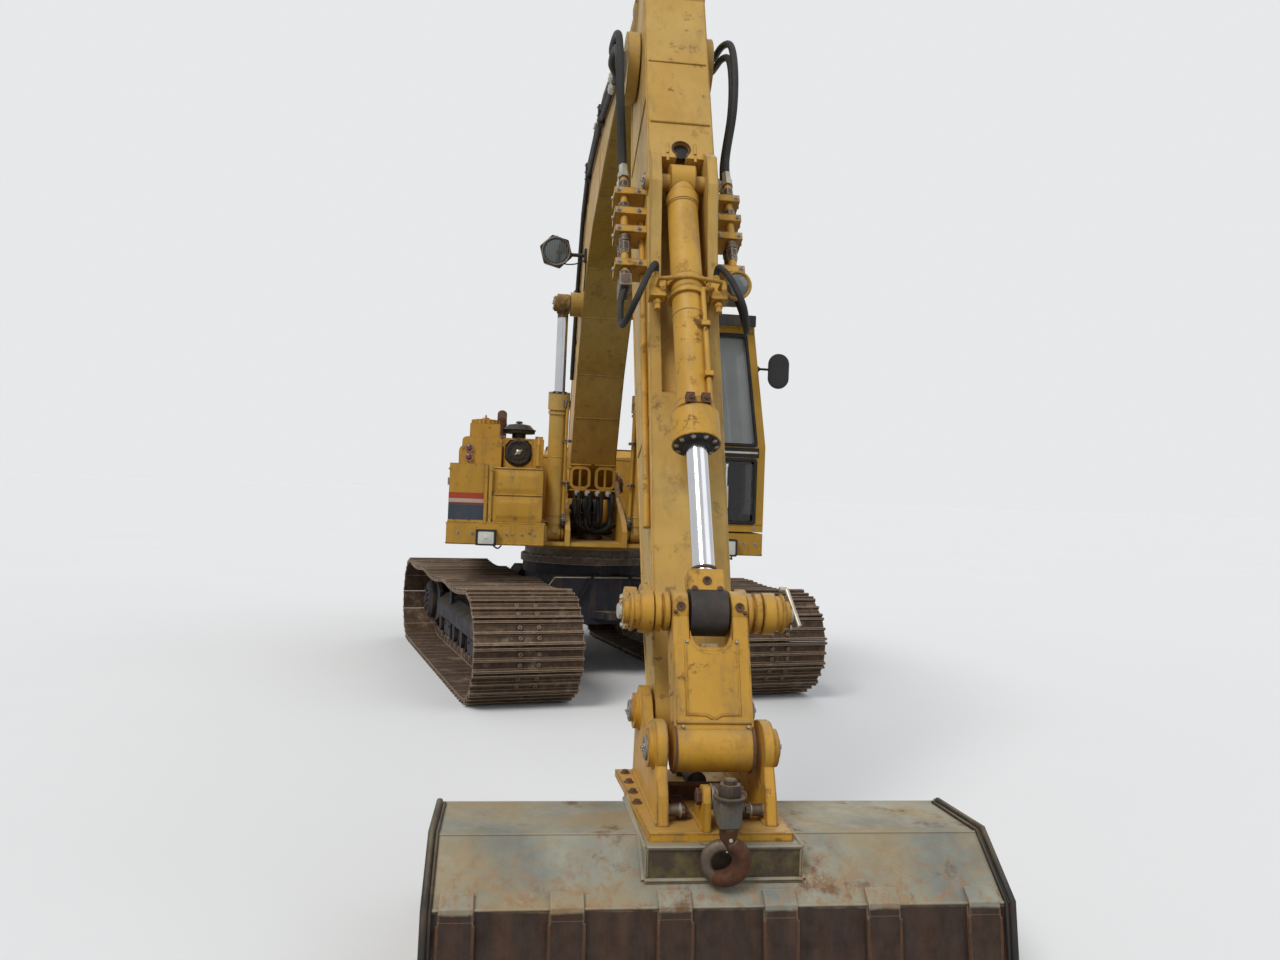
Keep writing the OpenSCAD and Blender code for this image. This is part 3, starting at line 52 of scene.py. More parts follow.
class Nodes:
    """A material's node tree, with short calls for the nodes used here."""

    def __init__(self, name):
        self.mat = bpy.data.materials.new(name)
        self.mat.use_nodes = True
        self.tree = self.mat.node_tree
        self.tree.nodes.clear()
        out = self.node("OutputMaterial")
        self.bsdf = self.node("BsdfPrincipled")
        self.link(self.bsdf.outputs[0], out.inputs[0])
        self.coord = self.node("TexCoord").outputs["Object"]

    def node(self, kind):
        return self.tree.nodes.new("ShaderNode" + kind)

    def link(self, a, b):
        self.tree.links.new(a, b)

    def set(self, socket, value):
        """Links an output to the socket, or gives the socket a constant."""
        if hasattr(value, "is_output"):
            self.link(value, socket)
        else:
            socket.default_value = value

    def shade(self, sockets):
        """Sets the shader's named sockets and returns the material."""
        for key, value in sockets.items():
            self.set(self.bsdf.inputs[key], value)
        return self.mat

    def mapped(self, scale):
        n = self.node("Mapping")
        self.link(self.coord, n.inputs["Vector"])
        n.inputs["Scale"].default_value = scale
        return n.outputs[0]

    def noise(self, scale, detail=4, rough=0.6, vector=None, distort=0.0):
        n = self.node("TexNoise")
        self.link(vector or self.coord, n.inputs["Vector"])
        for key, value in (("Scale", scale), ("Detail", detail), ("Roughness", rough),
                           ("Distortion", distort)):
            n.inputs[key].default_value = value
        return n.outputs[0]

    def ramp(self, value, low, high, ends=(0.0, 1.0)):
        """The first end under low, the second over high, and a straight blend between."""
        n = self.node("ValToRGB")
        self.link(value, n.inputs[0])
        for element, place, v in zip(n.color_ramp.elements, (low, high), ends):
            element.position = place
            element.color = (v, v, v, 1)
        return n.outputs[0]

    def spots(self, low, high, scale, detail=4, rough=0.6, vector=None, distort=0.0, ends=(0.0, 1.0)):
        """Noise cut to spots, 0 under low and 1 over high."""
        return self.ramp(self.noise(scale, detail, rough, vector, distort), low, high, ends)

    def math(self, op, a, b=0.0, clamp=False):
        n = self.node("Math")
        n.operation = op
        n.use_clamp = clamp
        self.set(n.inputs[0], a)
        self.set(n.inputs[1], b)
        return n.outputs[0]

    def times(self, a, b):
        return self.math("MULTIPLY", a, b)

    def mix(self, fac, a, b):
        n = self.node("Mix")
        n.data_type = "RGBA"
        self.set(n.inputs["Factor"], fac)
        for key, value in (("A", a), ("B", b)):
            self.set(n.inputs[key], value if hasattr(value, "is_output") else (*value, 1))
        return n.outputs["Result"]

    def bump(self, height, strength, distance=0.01, normal=None):
        n = self.node("Bump")
        n.inputs["Strength"].default_value = strength
        n.inputs["Distance"].default_value = distance
        self.link(height, n.inputs["Height"])
        if normal:
            self.link(normal, n.inputs["Normal"])
        return n.outputs[0]

    def split(self, vector):
        n = self.node("SeparateXYZ")
        self.link(vector, n.inputs[0])
        return n.outputs

    def normal(self):
        return self.node("NewGeometry").outputs["Normal"]

    def edges(self, radius=0.012):
        """1 on the solid's edges, 0 on flat faces."""
        b = self.node("Bevel")
        b.samples = 4
        b.inputs["Radius"].default_value = radius
        normal = self.normal()
        d = self.node("VectorMath")
        d.operation = "DOT_PRODUCT"
        self.link(b.outputs[0], d.inputs[0])
        self.link(normal, d.inputs[1])
        return self.ramp(d.outputs["Value"], 0.9, 0.995, (1.0, 0.0))

    def within(self, centre, axis, radius, start=None):
        """1 inside a cylinder of the radius around the line along the axis, past its start, and 0 outside."""
        flat = tuple(0.0 if i == axis else 1.0 for i in range(3))
        d = self.node("VectorMath")
        d.operation = "DISTANCE"
        self.link(self.mapped(flat), d.inputs[0])
        d.inputs[1].default_value = tuple(c * f for c, f in zip(centre, flat))
        inside = self.ramp(d.outputs["Value"], radius - 0.002, radius, (1.0, 0.0))
        if start is None:
            return inside
        return self.times(inside, self.math("GREATER_THAN", self.split(self.coord)[axis], start))


def srgb(r, g, b):
    """A colour as read off a picture, 0 to 255, in linear values."""
    return tuple((c / 255) ** 2.2 for c in (r, g, b))


def scaled(colour, factor):
    return tuple(min(1, c * factor) for c in colour)


RUST, RUST_DARK = srgb(92, 52, 30), srgb(52, 32, 24)
DIRT, DUST = srgb(120, 98, 72), srgb(150, 134, 104)
SOOT = srgb(25, 25, 27)


def painted(name, base, light, rust=0.45, dirt=0.5, edge=0.6, rough=0.5, chips=14.0, dark_zones=()):
    """Worn paint with stains, chips, rust and dust; zones are the dark pieces of a node."""
    m = Nodes(name)
    colour = m.mix(m.spots(0.35, 0.65, 0.9, 3), base, light)
    colour = m.mix(m.times(m.spots(0.38, 0.7, 6, 6, 0.65), 0.35), colour, scaled(base, 0.62))
    stain = m.spots(0.5, 0.72, 3.2, 8, 0.72, m.mapped((3.0, 3.0, 0.55)), 0.3)
    colour = m.mix(m.times(stain, dirt), colour, DIRT)
    chipped = m.spots(0.60 - 0.06 * rust, 0.66 - 0.05 * rust, chips, 8, 0.7)
    areas = m.spots(0.42, 0.66, 1.6, 5, 0.7, ends=(0.12, 1.0))
    worn_edges = m.times(m.edges(), m.spots(0.36, 0.58, 9, 5, 0.7))
    rusty = m.math("MAXIMUM", m.times(chipped, areas), m.times(worn_edges, edge), True)
    rusty = m.times(rusty, min(1.0, rust * 1.9))
    colour = m.mix(rusty, colour, m.mix(m.noise(24, 4), RUST_DARK, RUST))
    level = m.ramp(m.split(m.normal())["Z"], 0.55, 0.95)
    colour = m.mix(m.times(level, m.spots(0.3, 0.7, 5, 6, ends=(0.15, 0.62))), colour, DUST)
    for zone in dark_zones:
        colour = m.mix(m.times(m.within(*zone), 0.96), colour, SOOT)
    gloss = m.math("ADD", m.times(rusty, 0.35), m.spots(0.3, 0.7, 4, ends=(rough - 0.08, rough + 0.14)), True)
    bumps = m.bump(rusty, 0.35, 0.004, m.bump(m.noise(90, 5, 0.7), 0.12, 0.004))
    return m.shade({"Base Color": colour, "Roughness": gloss, "Normal": bumps})


def metal(name, base, other, worn, scale=12.0, rough=0.55, metallic=0.5, edge=0.8, patch=0.0):
    """Bare or rusty steel with bright edges and, where asked, patches rubbed bright."""
    m = Nodes(name)
    colour = m.mix(m.spots(0.38, 0.62, scale, 8, 0.7), base, other)
    colour = m.mix(m.times(m.spots(0.4, 0.7, 2.4), 0.5), colour, scaled(base, 0.5))
    bright = m.times(m.edges(0.009), edge)
    if patch:
        rubbed = m.spots(0.54, 0.66, 3.4, 7, 0.72)
        fine = m.spots(0.4, 0.6, 38, 6, 0.7, ends=(0.2, 1.0))
        bright = m.math("MAXIMUM", bright, m.times(m.times(rubbed, fine), patch))
    return m.shade({
        "Base Color": m.mix(bright, colour, worn), "Metallic": metallic,
        "Roughness": m.spots(0.3, 0.7, 30, ends=(rough - 0.1, min(1.0, rough + 0.2))),
        "Normal": m.bump(m.noise(60, 8, 0.7), 0.3, 0.006)})


def plain(name, base, rough=0.6, metallic=0.0, grain=120.0, strength=0.1, spread=0.25, coat=0.0):
    """Rubber, plastic, lenses and chrome: one tone with a soft grain."""
    m = Nodes(name)
    cloudy = m.spots(0.3, 0.7, grain / 8, 5)
    return m.shade({
        "Base Color": m.mix(cloudy, scaled(base, 1 - spread), scaled(base, 1 + spread)),
        "Metallic": metallic, "Coat Weight": coat,
        "Roughness": m.spots(0.3, 0.7, 7, 5, ends=(max(0.02, rough - 0.1), min(1.0, rough + 0.12))),
        "Normal": m.bump(m.noise(grain, 4), strength, 0.002)})


def glass(name, tint, dark, waist, alpha):
    """Dusty window glass that is darker under the cab's waist."""
    m = Nodes(name)
    film = m.mix(m.spots(0.3, 0.7, 3), tint, scaled(tint, 0.8))
    # a ramp only reaches from 0 to 1, so heights go into it as quarters
    low = m.ramp(m.times(m.split(m.coord)["Z"], 0.25), waist * 0.25 - 0.002, waist * 0.25, (1.0, 0.0))
    m.mat.surface_render_method = "BLENDED"
    return m.shade({
        "Base Color": m.mix(low, film, dark), "Roughness": 0.04, "Coat Weight": 0.5, "Alpha": alpha,
        "Normal": m.bump(m.noise(1.3, 2), 0.03, 0.01)})


def bucket_steel(name, crease):
    """Grey worn paint above the crease, rusty towards it, and dark brown below it on the outer face."""
    m = Nodes(name)
    z = m.split(m.coord)["Z"]
    top = m.mix(m.spots(0.4, 0.62, 2.2, 5), srgb(160, 158, 142), srgb(122, 124, 116))
    khaki = m.spots(0.42, 0.62, 4, 7, 0.7, m.mapped((1, 0.6, 1)), ends=(0.0, 0.8))
    top = m.mix(khaki, top, srgb(158, 138, 102))
    towards = m.ramp(z, crease, crease + 0.15, (1.0, 0.15))
    speckle = m.times(m.spots(0.49, 0.57, 26, 9, 0.75), towards)
    top = m.mix(m.times(speckle, 0.85), top, m.mix(m.noise(18, 4), srgb(176, 146, 112), srgb(112, 74, 50)))
    top = m.mix(m.times(m.spots(0.56, 0.64, 5, 8, 0.72), 0.75), top, srgb(104, 68, 46))
    # below the crease the faces turned to the front are dark brown, mottled between two tones
    dark_mottle = m.spots(0.4, 0.65, 7, 6, 0.7, m.mapped((1, 2, 0.5)))
    low = m.mix(dark_mottle, srgb(44, 30, 21), srgb(70, 48, 34))
    facing = m.split(m.normal())["X"]
    ragged = m.math("ADD", z, m.times(m.noise(14, 5), 0.014))
    # the adapter box's front is stained
    across = m.ramp(m.math("ABSOLUTE", m.split(m.coord)["Y"]), 0.2450, 0.2455, (1.0, 0.0))
    box_front = m.times(across, m.ramp(facing, 0.93, 0.97))
    box_front = m.times(box_front, m.ramp(z, crease + 0.03, crease + 0.035))
    stained = m.mix(m.spots(0.45, 0.65, 9, 6, 0.7), srgb(58, 42, 30), srgb(104, 92, 48))
    top = m.mix(m.times(box_front, 0.92), top, stained)
    below = m.times(m.ramp(ragged, crease, crease + 0.006, (1.0, 0.0)), m.ramp(facing, 0.3, 0.5))
    colour = m.mix(below, top, low)
    return m.shade({
        "Base Color": m.mix(m.times(m.edges(0.008), 0.6), colour, srgb(176, 152, 128)), "Metallic": 0.1,
        "Roughness": m.spots(0.3, 0.7, 20, ends=(0.5, 0.85)),
        "Normal": m.bump(m.noise(50, 8, 0.7), 0.3, 0.006)})


def rod_with_eye(name, eye, reach, tone, dark):
    """Chrome up to the rod's end, with worn paint on the eye around the pin; the bucket rod's eye is dark
    steel, partly painted shade in the link's slot.
    """
    m = Nodes(name)
    on_eye = m.within(eye, 1, reach)
    worn = m.mix(m.spots(0.42, 0.62, 14, 8, 0.7), tone, dark)
    shine = m.mix(m.spots(0.3, 0.7, 3), srgb(186, 186, 190), srgb(204, 204, 206))
    return m.shade({
        "Base Color": m.mix(on_eye, shine, worn), "Metallic": m.math("SUBTRACT", 1.0, on_eye),
        "Roughness": m.ramp(on_eye, 0.0, 1.0, (0.16, 0.6)),
        "Normal": m.bump(m.times(m.noise(60, 6, 0.7), on_eye), 0.25, 0.004)})


YELLOW, YELLOW_LIGHT, YELLOW_WORN = srgb(196, 146, 50), srgb(205, 160, 74), srgb(176, 136, 60)
# the air cleaner's drum and the cap over its intake, which are black in the yellow box
DRUM, CAP = ((0, -0.65, 1.865), 0, 0.1095, 0.52), ((0.31, -0.65, 0), 2, 0.146, 1.985)
MAT = {
    "yellow": painted("yellow_worn", YELLOW, YELLOW_LIGHT),
    "yellow_cleaner": painted("yellow_cleaner", YELLOW, YELLOW_LIGHT, dark_zones=(DRUM, CAP)),
    "yellow_high": painted("yellow_boom", srgb(200, 152, 62), srgb(208, 172, 98), 0.42, 0.45),
    "yellow_rusty": painted("yellow_rusty", srgb(204, 150, 48), srgb(210, 162, 68), 0.62, 0.6, 0.9),
    "yellow_cab": painted("yellow_cab", srgb(204, 152, 48), srgb(208, 162, 70), 0.25, 0.35, 0.35),
    # the undercarriage's dark bluish base colour, with rust, stains and dust over it
    "navy": painted("undercarriage_dark_blue", srgb(34, 36, 48), srgb(48, 48, 54), 0.55, 0.6, 0.7, 0.7),
    "black": painted("black_worn", srgb(26, 26, 27), srgb(40, 38, 36), 0.4, 0.4, 0.4, 0.6),
    "grey": painted("engine_oily", srgb(80, 80, 76), srgb(96, 94, 88), 0.3, 0.7, rough=0.6),
    "stripe_red": painted("stripe_red", srgb(176, 66, 34), srgb(190, 84, 44), 0.2, 0.35, 0.3, chips=30),
    "stripe_pale": painted("stripe_pale", srgb(206, 172, 164), srgb(196, 180, 168), 0.2, 0.4, 0.3, chips=30),
    "stripe_slate": painted("stripe_slate", srgb(52, 62, 74), srgb(66, 76, 86), 0.2, 0.35, 0.3, chips=30),
    "track": metal("track_rust", srgb(70, 55, 45), srgb(104, 80, 60), srgb(196, 172, 146), 16, 0.7,
                   0.2, 0.95, 0.6),
    "steel": metal("steel_worn", srgb(92, 78, 66), srgb(112, 98, 84), srgb(190, 184, 176), 20, 0.5, 0.6, 0.8),
    "rusty": metal("rust_old", srgb(96, 60, 38), srgb(66, 42, 30), srgb(150, 120, 96), 24, 0.8, 0.1, 0.5),
    "lip": metal("lip_worn", srgb(150, 146, 140), srgb(120, 110, 100), srgb(200, 196, 190), 20,
                 0.4, 0.7, 0.5),
    "chrome": plain("rod_chrome", srgb(200, 200, 202), 0.16, 1.0, 200, 0.02, 0.05),
    "rubber": plain("hose_rubber", srgb(34, 33, 32), 0.7, 0, 160, 0.2, 0.4),
    "plastic": plain("black_plastic", srgb(28, 28, 29), 0.55, 0, 240, 0.15, 0.3),
    "cloth": plain("seat_cloth", srgb(46, 46, 50), 0.95, 0, 420, 0.6, 0.35),
    "gasket": plain("window_gasket", srgb(26, 24, 22), 0.75, 0, 90, 0.15, 0.4),
    "lens": plain("lamp_lens", srgb(222, 222, 214), 0.22, 0, 60, 0.25, 0.08, 0.6),
    "lens_dark": plain("lamp_lens_unlit", srgb(84, 90, 92), 0.12, 0, 40, 0.3, 0.35, 0.9),
    "red": plain("red_lens", srgb(110, 26, 20), 0.3, 0, 60, 0.2, 0.2, 0.5),
    "alu": plain("fitting_steel", srgb(176, 170, 156), 0.38, 0.8, 90, 0.15, 0.2),
    "mirror": plain("mirror_glass", srgb(120, 128, 134), 0.08, 0.9, 40, 0.02, 0.06),
    "lining": plain("cab_lining", srgb(96, 92, 84), 0.9, 0, 300, 0.3, 0.2),
    "boom_rod": rod_with_eye("rod_chrome_boom", (1.10, 0, 3.05), 0.115, YELLOW_WORN, srgb(70, 54, 40)),
    "stick_rod": rod_with_eye("rod_chrome_stick", (4.2915, 0, 4.4196), 0.125, YELLOW_WORN, srgb(70, 54, 40)),
    # the bucket rod's eye is partly real dark steel and partly painted shade, so the link's slot looks dark
    "bucket_rod": rod_with_eye("rod_chrome_bucket", (5.6703, 0, 1.1503), 0.10, srgb(40, 37, 36),
                               srgb(62, 50, 42)),
    "bucket": bucket_steel("bucket_steel", 0.333),
    "glass": glass("cab_glass", srgb(172, 178, 178), srgb(16, 17, 17), 1.95, 0.58),
}
NODE_MATS = {
    "navy": "car_body track_frame_right track_frame_left idlers sprockets rollers",
    "track": "track_right track_left",
    "steel": "swing_bearing lifting_hook",
    "yellow": "main_frame counterweight engine_housing fuel_tank hydraulic_tank tool_box handrails "
              "hose_guards engine_hood pump_door radiator_door",
    "yellow_cleaner": "air_cleaner",
    "yellow_high": "boom stick_barrel boom_barrels stick",
    "yellow_rusty": "power_link rockers quick_coupler stick_pipes bucket_barrel",
    "yellow_cab": "cab_shell cab_door",
    "grey": "engine_block",
    "black": "radiator boom_pipes boom_lamp stick_lamp work_lamps",
    "rusty": "exhaust",
    "bucket": "bucket",
    "boom_rod": "boom_rods",
    "stick_rod": "stick_rod",
    "bucket_rod": "bucket_rod",
    "rubber": "jumper_hoses",
    "plastic": "controls side_mirror",
    "cloth": "seat",
    "glass": "cab_windows cab_door_glass",
}
for key, names in NODE_MATS.items():
    for node in names.split():
        slots = nodes[node].data.materials
        slots.clear()
        slots.append(MAT[key])
        for face in nodes[node].data.polygons:
            face.material_index = 0

# Measures, in metres, repeated from the model

LEAN = math.radians(24)
ALONG = Vector((math.sin(LEAN), 0, -math.cos(LEAN)))
FRONT = Vector((math.cos(LEAN), 0, math.sin(LEAN)))
TIP = Vector((5.45, 0, 0.76))
STICK_FOOT = TIP - 3.2 * ALONG
BOOM_FOOT, BOOM_EYE = Vector((0, 0, 1.62)), Vector((1.1, 0, 3.05))
CYL_FOOT, CYL_Y = Vector((0.86, 0, 1.22)), 0.34
STICK_CYL = Vector((1.45, 0, 4.35))
CAB_IN, CAB_OUT, CAB_REAR, CAB_FRONT = 0.45, 1.235, 0.05, 1.57
CAB_FLOOR, WAIST, ROOF = 1.332, 1.95, 2.94
HEAD = ROOF - 0.13
TURN = Matrix.Rotation(math.radians(13), 4, "Z")
BOOM_SIDE, STICK_SIDE = 0.19, 0.145


def on_stick(u, v, y=0.0):
    """A point on the stick: u down from its foot pin, v to its front, y across."""
    return STICK_FOOT + u * ALONG + v * FRONT + y * Y


CRANK = on_stick(-0.614, 0.43)
BUCKET_CYL = on_stick(0.934, 0.245)
ROCKER_FOOT = on_stick(2.79, -0.06)
LINK_TOP = on_stick(2.933, 0.36)
LINK_LOW = Vector((5.84, 0, 0.725))


def side_in(z):
    """How far the cab's side leans in at a height."""
    return 0.115 * max(0, z - WAIST) / (ROOF - WAIST)


def front_x(z):
    """The cab's front face, which leans back above its waist."""
    return CAB_FRONT - 0.07 * max(0, z - WAIST)


def around(centre, r, count, u=X, w=Z, start=0.0):
    """Points on a circle in the plane of u and w."""
    turns = (start + 2 * math.pi * k / count for k in range(count))
    return [Vector(centre) + (u * math.cos(a) + w * math.sin(a)) * r for a in turns]


def turned_to(centre, z_axis):
    """The place of a block at the centre, its Z along the axis."""
    return Matrix.Translation(centre) @ z_axis.to_track_quat("Z", "Y").to_matrix().to_4x4()


class Piece:
    """A mesh of small solids that becomes a named piece, riding on a body, at its block's end."""

    def __init__(self, name, body="upper", mat="yellow", bevel=0.0, angle=35, segments=2, turned=False):
        self.bm = bmesh.new()
        self.name, self.body, self.mat, self.turned = name, body, mat, turned
        self.bevel, self.angle, self.segments = bevel, angle, segments

    def __enter__(self):
        return self

    def rows(self, rings, closed=False):
        """Walls between rings of the same number of points."""
        rows = [[self.bm.verts.new(p) for p in ring] for ring in rings]
        for i in range(len(rows) if closed else len(rows) - 1):
            a, b = rows[i], rows[(i + 1) % len(rows)]
            for j in range(len(a)):
                k = (j + 1) % len(a)
                self.bm.faces.new((a[j], a[k], b[k], b[j]))
        return rows

    def sweep(self, rings, closed=False):
        """The same with both ends closed by a face."""
        rows = self.rows(rings, closed)
        if not closed:
            self.bm.faces.new(list(reversed(rows[0])))
            self.bm.faces.new(rows[-1])

    def box(self, corner, other, at=None):
        """A block between two opposite corners."""
        (x0, y0, z0), (x1, y1, z1) = corner, other
        rings = [[(x, y0, z0), (x, y1, z0), (x, y1, z1), (x, y0, z1)] for x in (x0, x1)]
        self.sweep([[at @ Vector(p) for p in ring] for ring in rings] if at is not None else rings)

    def lathe(self, origin, axis, profile, n=32):
        """A turned form: profile is (radius, height along the axis)."""
        axis = axis.normalized()
        u = axis.orthogonal().normalized()
        w = axis.cross(u)
        self.sweep([around(Vector(origin) + axis * h, max(r, 1e-4), n, u, w) for r, h in profile])

    def cyl(self, a, b, r, n=24):
        d = Vector(b) - Vector(a)
        self.lathe(a, d, [(r, 0), (r, d.length)], n)

    def bolt(self, at, axis, r=0.014):
        """A hexagon head on its washer."""
        axis, h = axis.normalized(), r * 0.75
        self.lathe(at, axis, [(r * 1.45, 0), (r * 1.45, h * 0.25)], 16)
        self.lathe(Vector(at) + axis * h * 0.25, axis, [(r, 0), (r, h * 0.75), (r * 0.85, h)], 6)

    def bolts(self, places, axis, r=0.014):
        for at in places:
            self.bolt(at, axis, r)

    def tube(self, points, r, n=8, closed=False):
        """A round bar or bead along the points."""
        pts = [Vector(p) for p in points]
        rings, side, last = [], None, len(pts) - 1
        for i, p in enumerate(pts):
            ahead = pts[(i + 1) % len(pts)] if closed else pts[min(i + 1, last)]
            t = (ahead - (pts[i - 1] if closed else pts[max(i - 1, 0)])).normalized()
            side = (t.orthogonal() if side is None else side - t * side.dot(t)).normalized()
            rings.append(around(p, r, n, side, t.cross(side)))
        self.sweep(rings, closed)

    def tubes(self, r, *lines, n=8):
        for line in lines:
            self.tube(line, r, n)

    def prism(self, outline, lift, depth):
        """A flat outline of 3-D points made solid along a vector."""
        lift = lift.normalized() * depth
        self.sweep([[Vector(p) + move for p in outline] for move in (lift * 0, lift)])

    def ring(self, outer, inner, lift, depth):
        """A flat frame between two outlines of 3-D points."""
        lift = lift.normalized() * depth
        a, b = [[Vector(p) for p in line] for line in (outer, inner)]
        self.rows([a, [p + lift for p in a], [p + lift for p in b], b], closed=True)

    def __exit__(self, *_):
        bmesh.ops.recalc_face_normals(self.bm, faces=self.bm.faces)
        mesh = bpy.data.meshes.new(self.name)
        self.bm.to_mesh(mesh)
        self.bm.free()
        if self.turned:
            mesh.transform(TURN)
        mesh.materials.append(MAT[self.mat])
        mesh.polygons.foreach_set("use_smooth", [True] * len(mesh.polygons))
        mesh.set_sharp_from_angle(angle=math.radians(self.angle))
        self.obj = bpy.data.objects.new(self.name, mesh)
        bpy.context.scene.collection.objects.link(self.obj)
        if self.bevel:
            b = self.obj.modifiers.new("bevel", "BEVEL")
            b.width, b.segments, b.limit_method, b.harden_normals = self.bevel, self.segments, "ANGLE", False
        if self.body:
            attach(self.obj, self.body)


def smooth(points, steps=6):
    """A smooth line through the points."""
    pts = [Vector(p) for p in points]
    out = []
    for i in range(len(pts) - 1):
        p0, p1, p2, p3 = pts[max(i - 1, 0)], pts[i], pts[i + 1], pts[min(i + 2, len(pts) - 1)]
        bend, twist = 2 * p0 - 5 * p1 + 4 * p2 - p3, 3 * p1 - p0 - 3 * p2 + p3
        out += [0.5 * (2 * p1 + (p2 - p0) * t + bend * t * t + twist * t ** 3)
                for t in (k / steps for k in range(steps))]
    return out + [pts[-1]]


def inset(poly, d):
    """A flat polygon of 2-D points, moved in by d all round, or out where d is negative."""
    pts = [Vector(p) for p in poly]
    area = sum(a[0] * b[1] - b[0] * a[1] for a, b in zip(pts, pts[1:] + pts[:1]))
    s = 1 if area > 0 else -1
    out = []
    for a, p, b in zip(pts[-1:] + pts, pts, pts[1:] + pts[:1]):
        e, f = (p - a).normalized(), (b - p).normalized()
        ne, nf = Vector((-e[1], e[0])) * s, Vector((-f[1], f[0])) * s
        m = (ne + nf).normalized()
        out.append(tuple(p + m * d / m.dot(ne)))
    return out


def rounded(poly, r, steps=4):
    """The same polygon with its corners rounded."""
    pts = [Vector(p) for p in poly]
    out = []
    for a, p, b in zip(pts[-1:] + pts, pts, pts[1:] + pts[:1]):
        s, e = p + (a - p).normalized() * r, p + (b - p).normalized() * r
        for t in (k / steps for k in range(steps + 1)):
            out.append(tuple(s * (1 - t) ** 2 + p * 2 * t * (1 - t) + e * t * t))
    return out


def rect(a0, b0, a1, b1):
    return [(a0, b0), (a1, b0), (a1, b1), (a0, b1)]


def pin_cap(p, centre, s, y, r, bolts=3):
    """A retaining plate with its bolts and grease fitting on a pin's end."""
    at, out = centre + Y * s * y, Y * s
    p.lathe(at, out,
            [(r, 0), (r, 0.006), (r * 0.93, 0.009), (r * 0.5, 0.009), (r * 0.48, 0.005), (r * 0.1, 0.005)])
    p.bolts(around(at + out * 0.0085, r * 0.7, bolts, start=0.5), out, max(0.006, r * 0.13))
    p.lathe(at + out * 0.005, out, [(0.006, 0), (0.006, 0.008), (0.003, 0.012), (0.0045, 0.016)], 8)


# Tracks: bolts, pins and link plates follow the same loop as the shoes

LOOP_Z, LOOP_R, RUN, SHOES = 0.415, 0.377, 3.07, 47
GAUGE, RAIL_Y, RAIL_W = 1.96, 0.0675, 0.045
SAG = 0.038
SUPPORTS = [RUN / 2, RUN * 0.17, -RUN * 0.19, -RUN / 2]
LINK_PLATE = [(0.12, 0.012), (0.88, 0.012), (0.98, 0.05), (0.84, 0.086), (0.5, 0.074), (0.16, 0.086),
              (0.02, 0.05)]


def sag(x):
    """How far the upper run hangs between the rollers that carry it."""
    for a, b in zip(SUPPORTS, SUPPORTS[1:]):
        if b <= x <= a:
            return SAG * ((a - b) / (SUPPORTS[0] - SUPPORTS[1])) ** 2 * math.sin(math.pi * (a - x) / (a - b))
    return 0


def loop_point(s):
    arc = math.pi * LOOP_R
    if s < RUN:
        return Vector((s - RUN / 2, 0, LOOP_Z - LOOP_R))
    if s < RUN + arc:
        a = (s - RUN) / LOOP_R
        return Vector((RUN / 2 + LOOP_R * math.sin(a), 0, LOOP_Z - LOOP_R * math.cos(a)))
    if s < 2 * RUN + arc:
        x = RUN / 2 - (s - RUN - arc)
        return Vector((x, 0, LOOP_Z + LOOP_R - sag(x)))
    a = (s - 2 * RUN - arc) / LOOP_R
    return Vector((-RUN / 2 - LOOP_R * math.sin(a), 0, LOOP_Z + LOOP_R * math.cos(a)))


LOOP_LEN = 2 * (RUN + math.pi * LOOP_R)
LOOP = [loop_point(((i % SHOES) + 0.5) * LOOP_LEN / SHOES % LOOP_LEN) for i in range(SHOES + 1)]

for side, name in SIDES:
    out, shift = Y * side, Y * side * GAUGE / 2
    with Piece(f"{name}_link_plates", "undercarriage", "track", turned=True) as chain, \
            Piece(f"{name}_shoe_bolts", "undercarriage", "track", turned=True) as p:
        for i in range(SHOES):
            a, w = LOOP[i] + shift, LOOP[i + 1] - LOOP[i]
            t = w.normalized()
            n = Vector((t[2], 0, -t[0]))
            for f in (0.285, 0.715):
                for y in (-RAIL_Y, RAIL_Y):
                    p.lathe(a + w * f + n * 0.0125 + Y * y, n,
                            [(0.0165, 0), (0.0165, 0.011), (0.013, 0.014)], 6)
            for s in (-1, 1):
                face = a + Y * s * (RAIL_Y + RAIL_W / 2 + 0.0003)
                chain.prism([face + w * f - n * d for f, d in LINK_PLATE], Y * s, 0.003)
                pin = face + w * 0.97 - n * 0.052
                chain.cyl(pin, pin + Y * s * 0.0034, 0.02, 14)

    def place(x, y, z):
        """A point on the track frame, y out from its middle."""
        return Vector((x, side * (GAUGE / 2 + y), z))

    with Piece(f"{name}_frame_fittings", "undercarriage", "navy", 0.002, turned=True) as p:
        hub = place(-RUN / 2, 0.2185, LOOP_Z)
        p.bolts(around(hub, 0.105, 12), out, 0.012)
        p.lathe(hub, out, [(0.045, 0), (0.045, 0.010), (0.03, 0.016)], 6)
        for z in (0.045, -0.075):
            p.lathe(hub + Z * z, out, [(0.014, 0), (0.014, 0.009)], 6)
        # grease valve cover on the frame's outer side, with four bolts
        p.box(place(0.98, 0.1603, 0.35), place(1.16, 0.168, 0.43))
        p.bolts([place(x, 0.168, z) for x in (1.0, 1.14) for z in (0.365, 0.415)], out, 0.009)
        # guards that keep the chain on the lower rollers
        for x in (-0.62, 0.58):
            p.box(place(x - 0.16, 0.1363, 0.185), place(x + 0.16, 0.1483, 0.3))
            p.bolts([place(x + k, 0.1483, 0.275) for k in (-0.12, 0.12)], out, 0.012)
    with Piece(f"{name}_idler_cap", "undercarriage", "steel", turned=True) as p:
        hub = place(RUN / 2, 0.1602, LOOP_Z)
        p.lathe(hub, out, [(0.05, 0), (0.05, 0.012), (0.038, 0.018)], 24)
        p.bolts(around(hub + out * 0.016, 0.036, 6), out, 0.006)

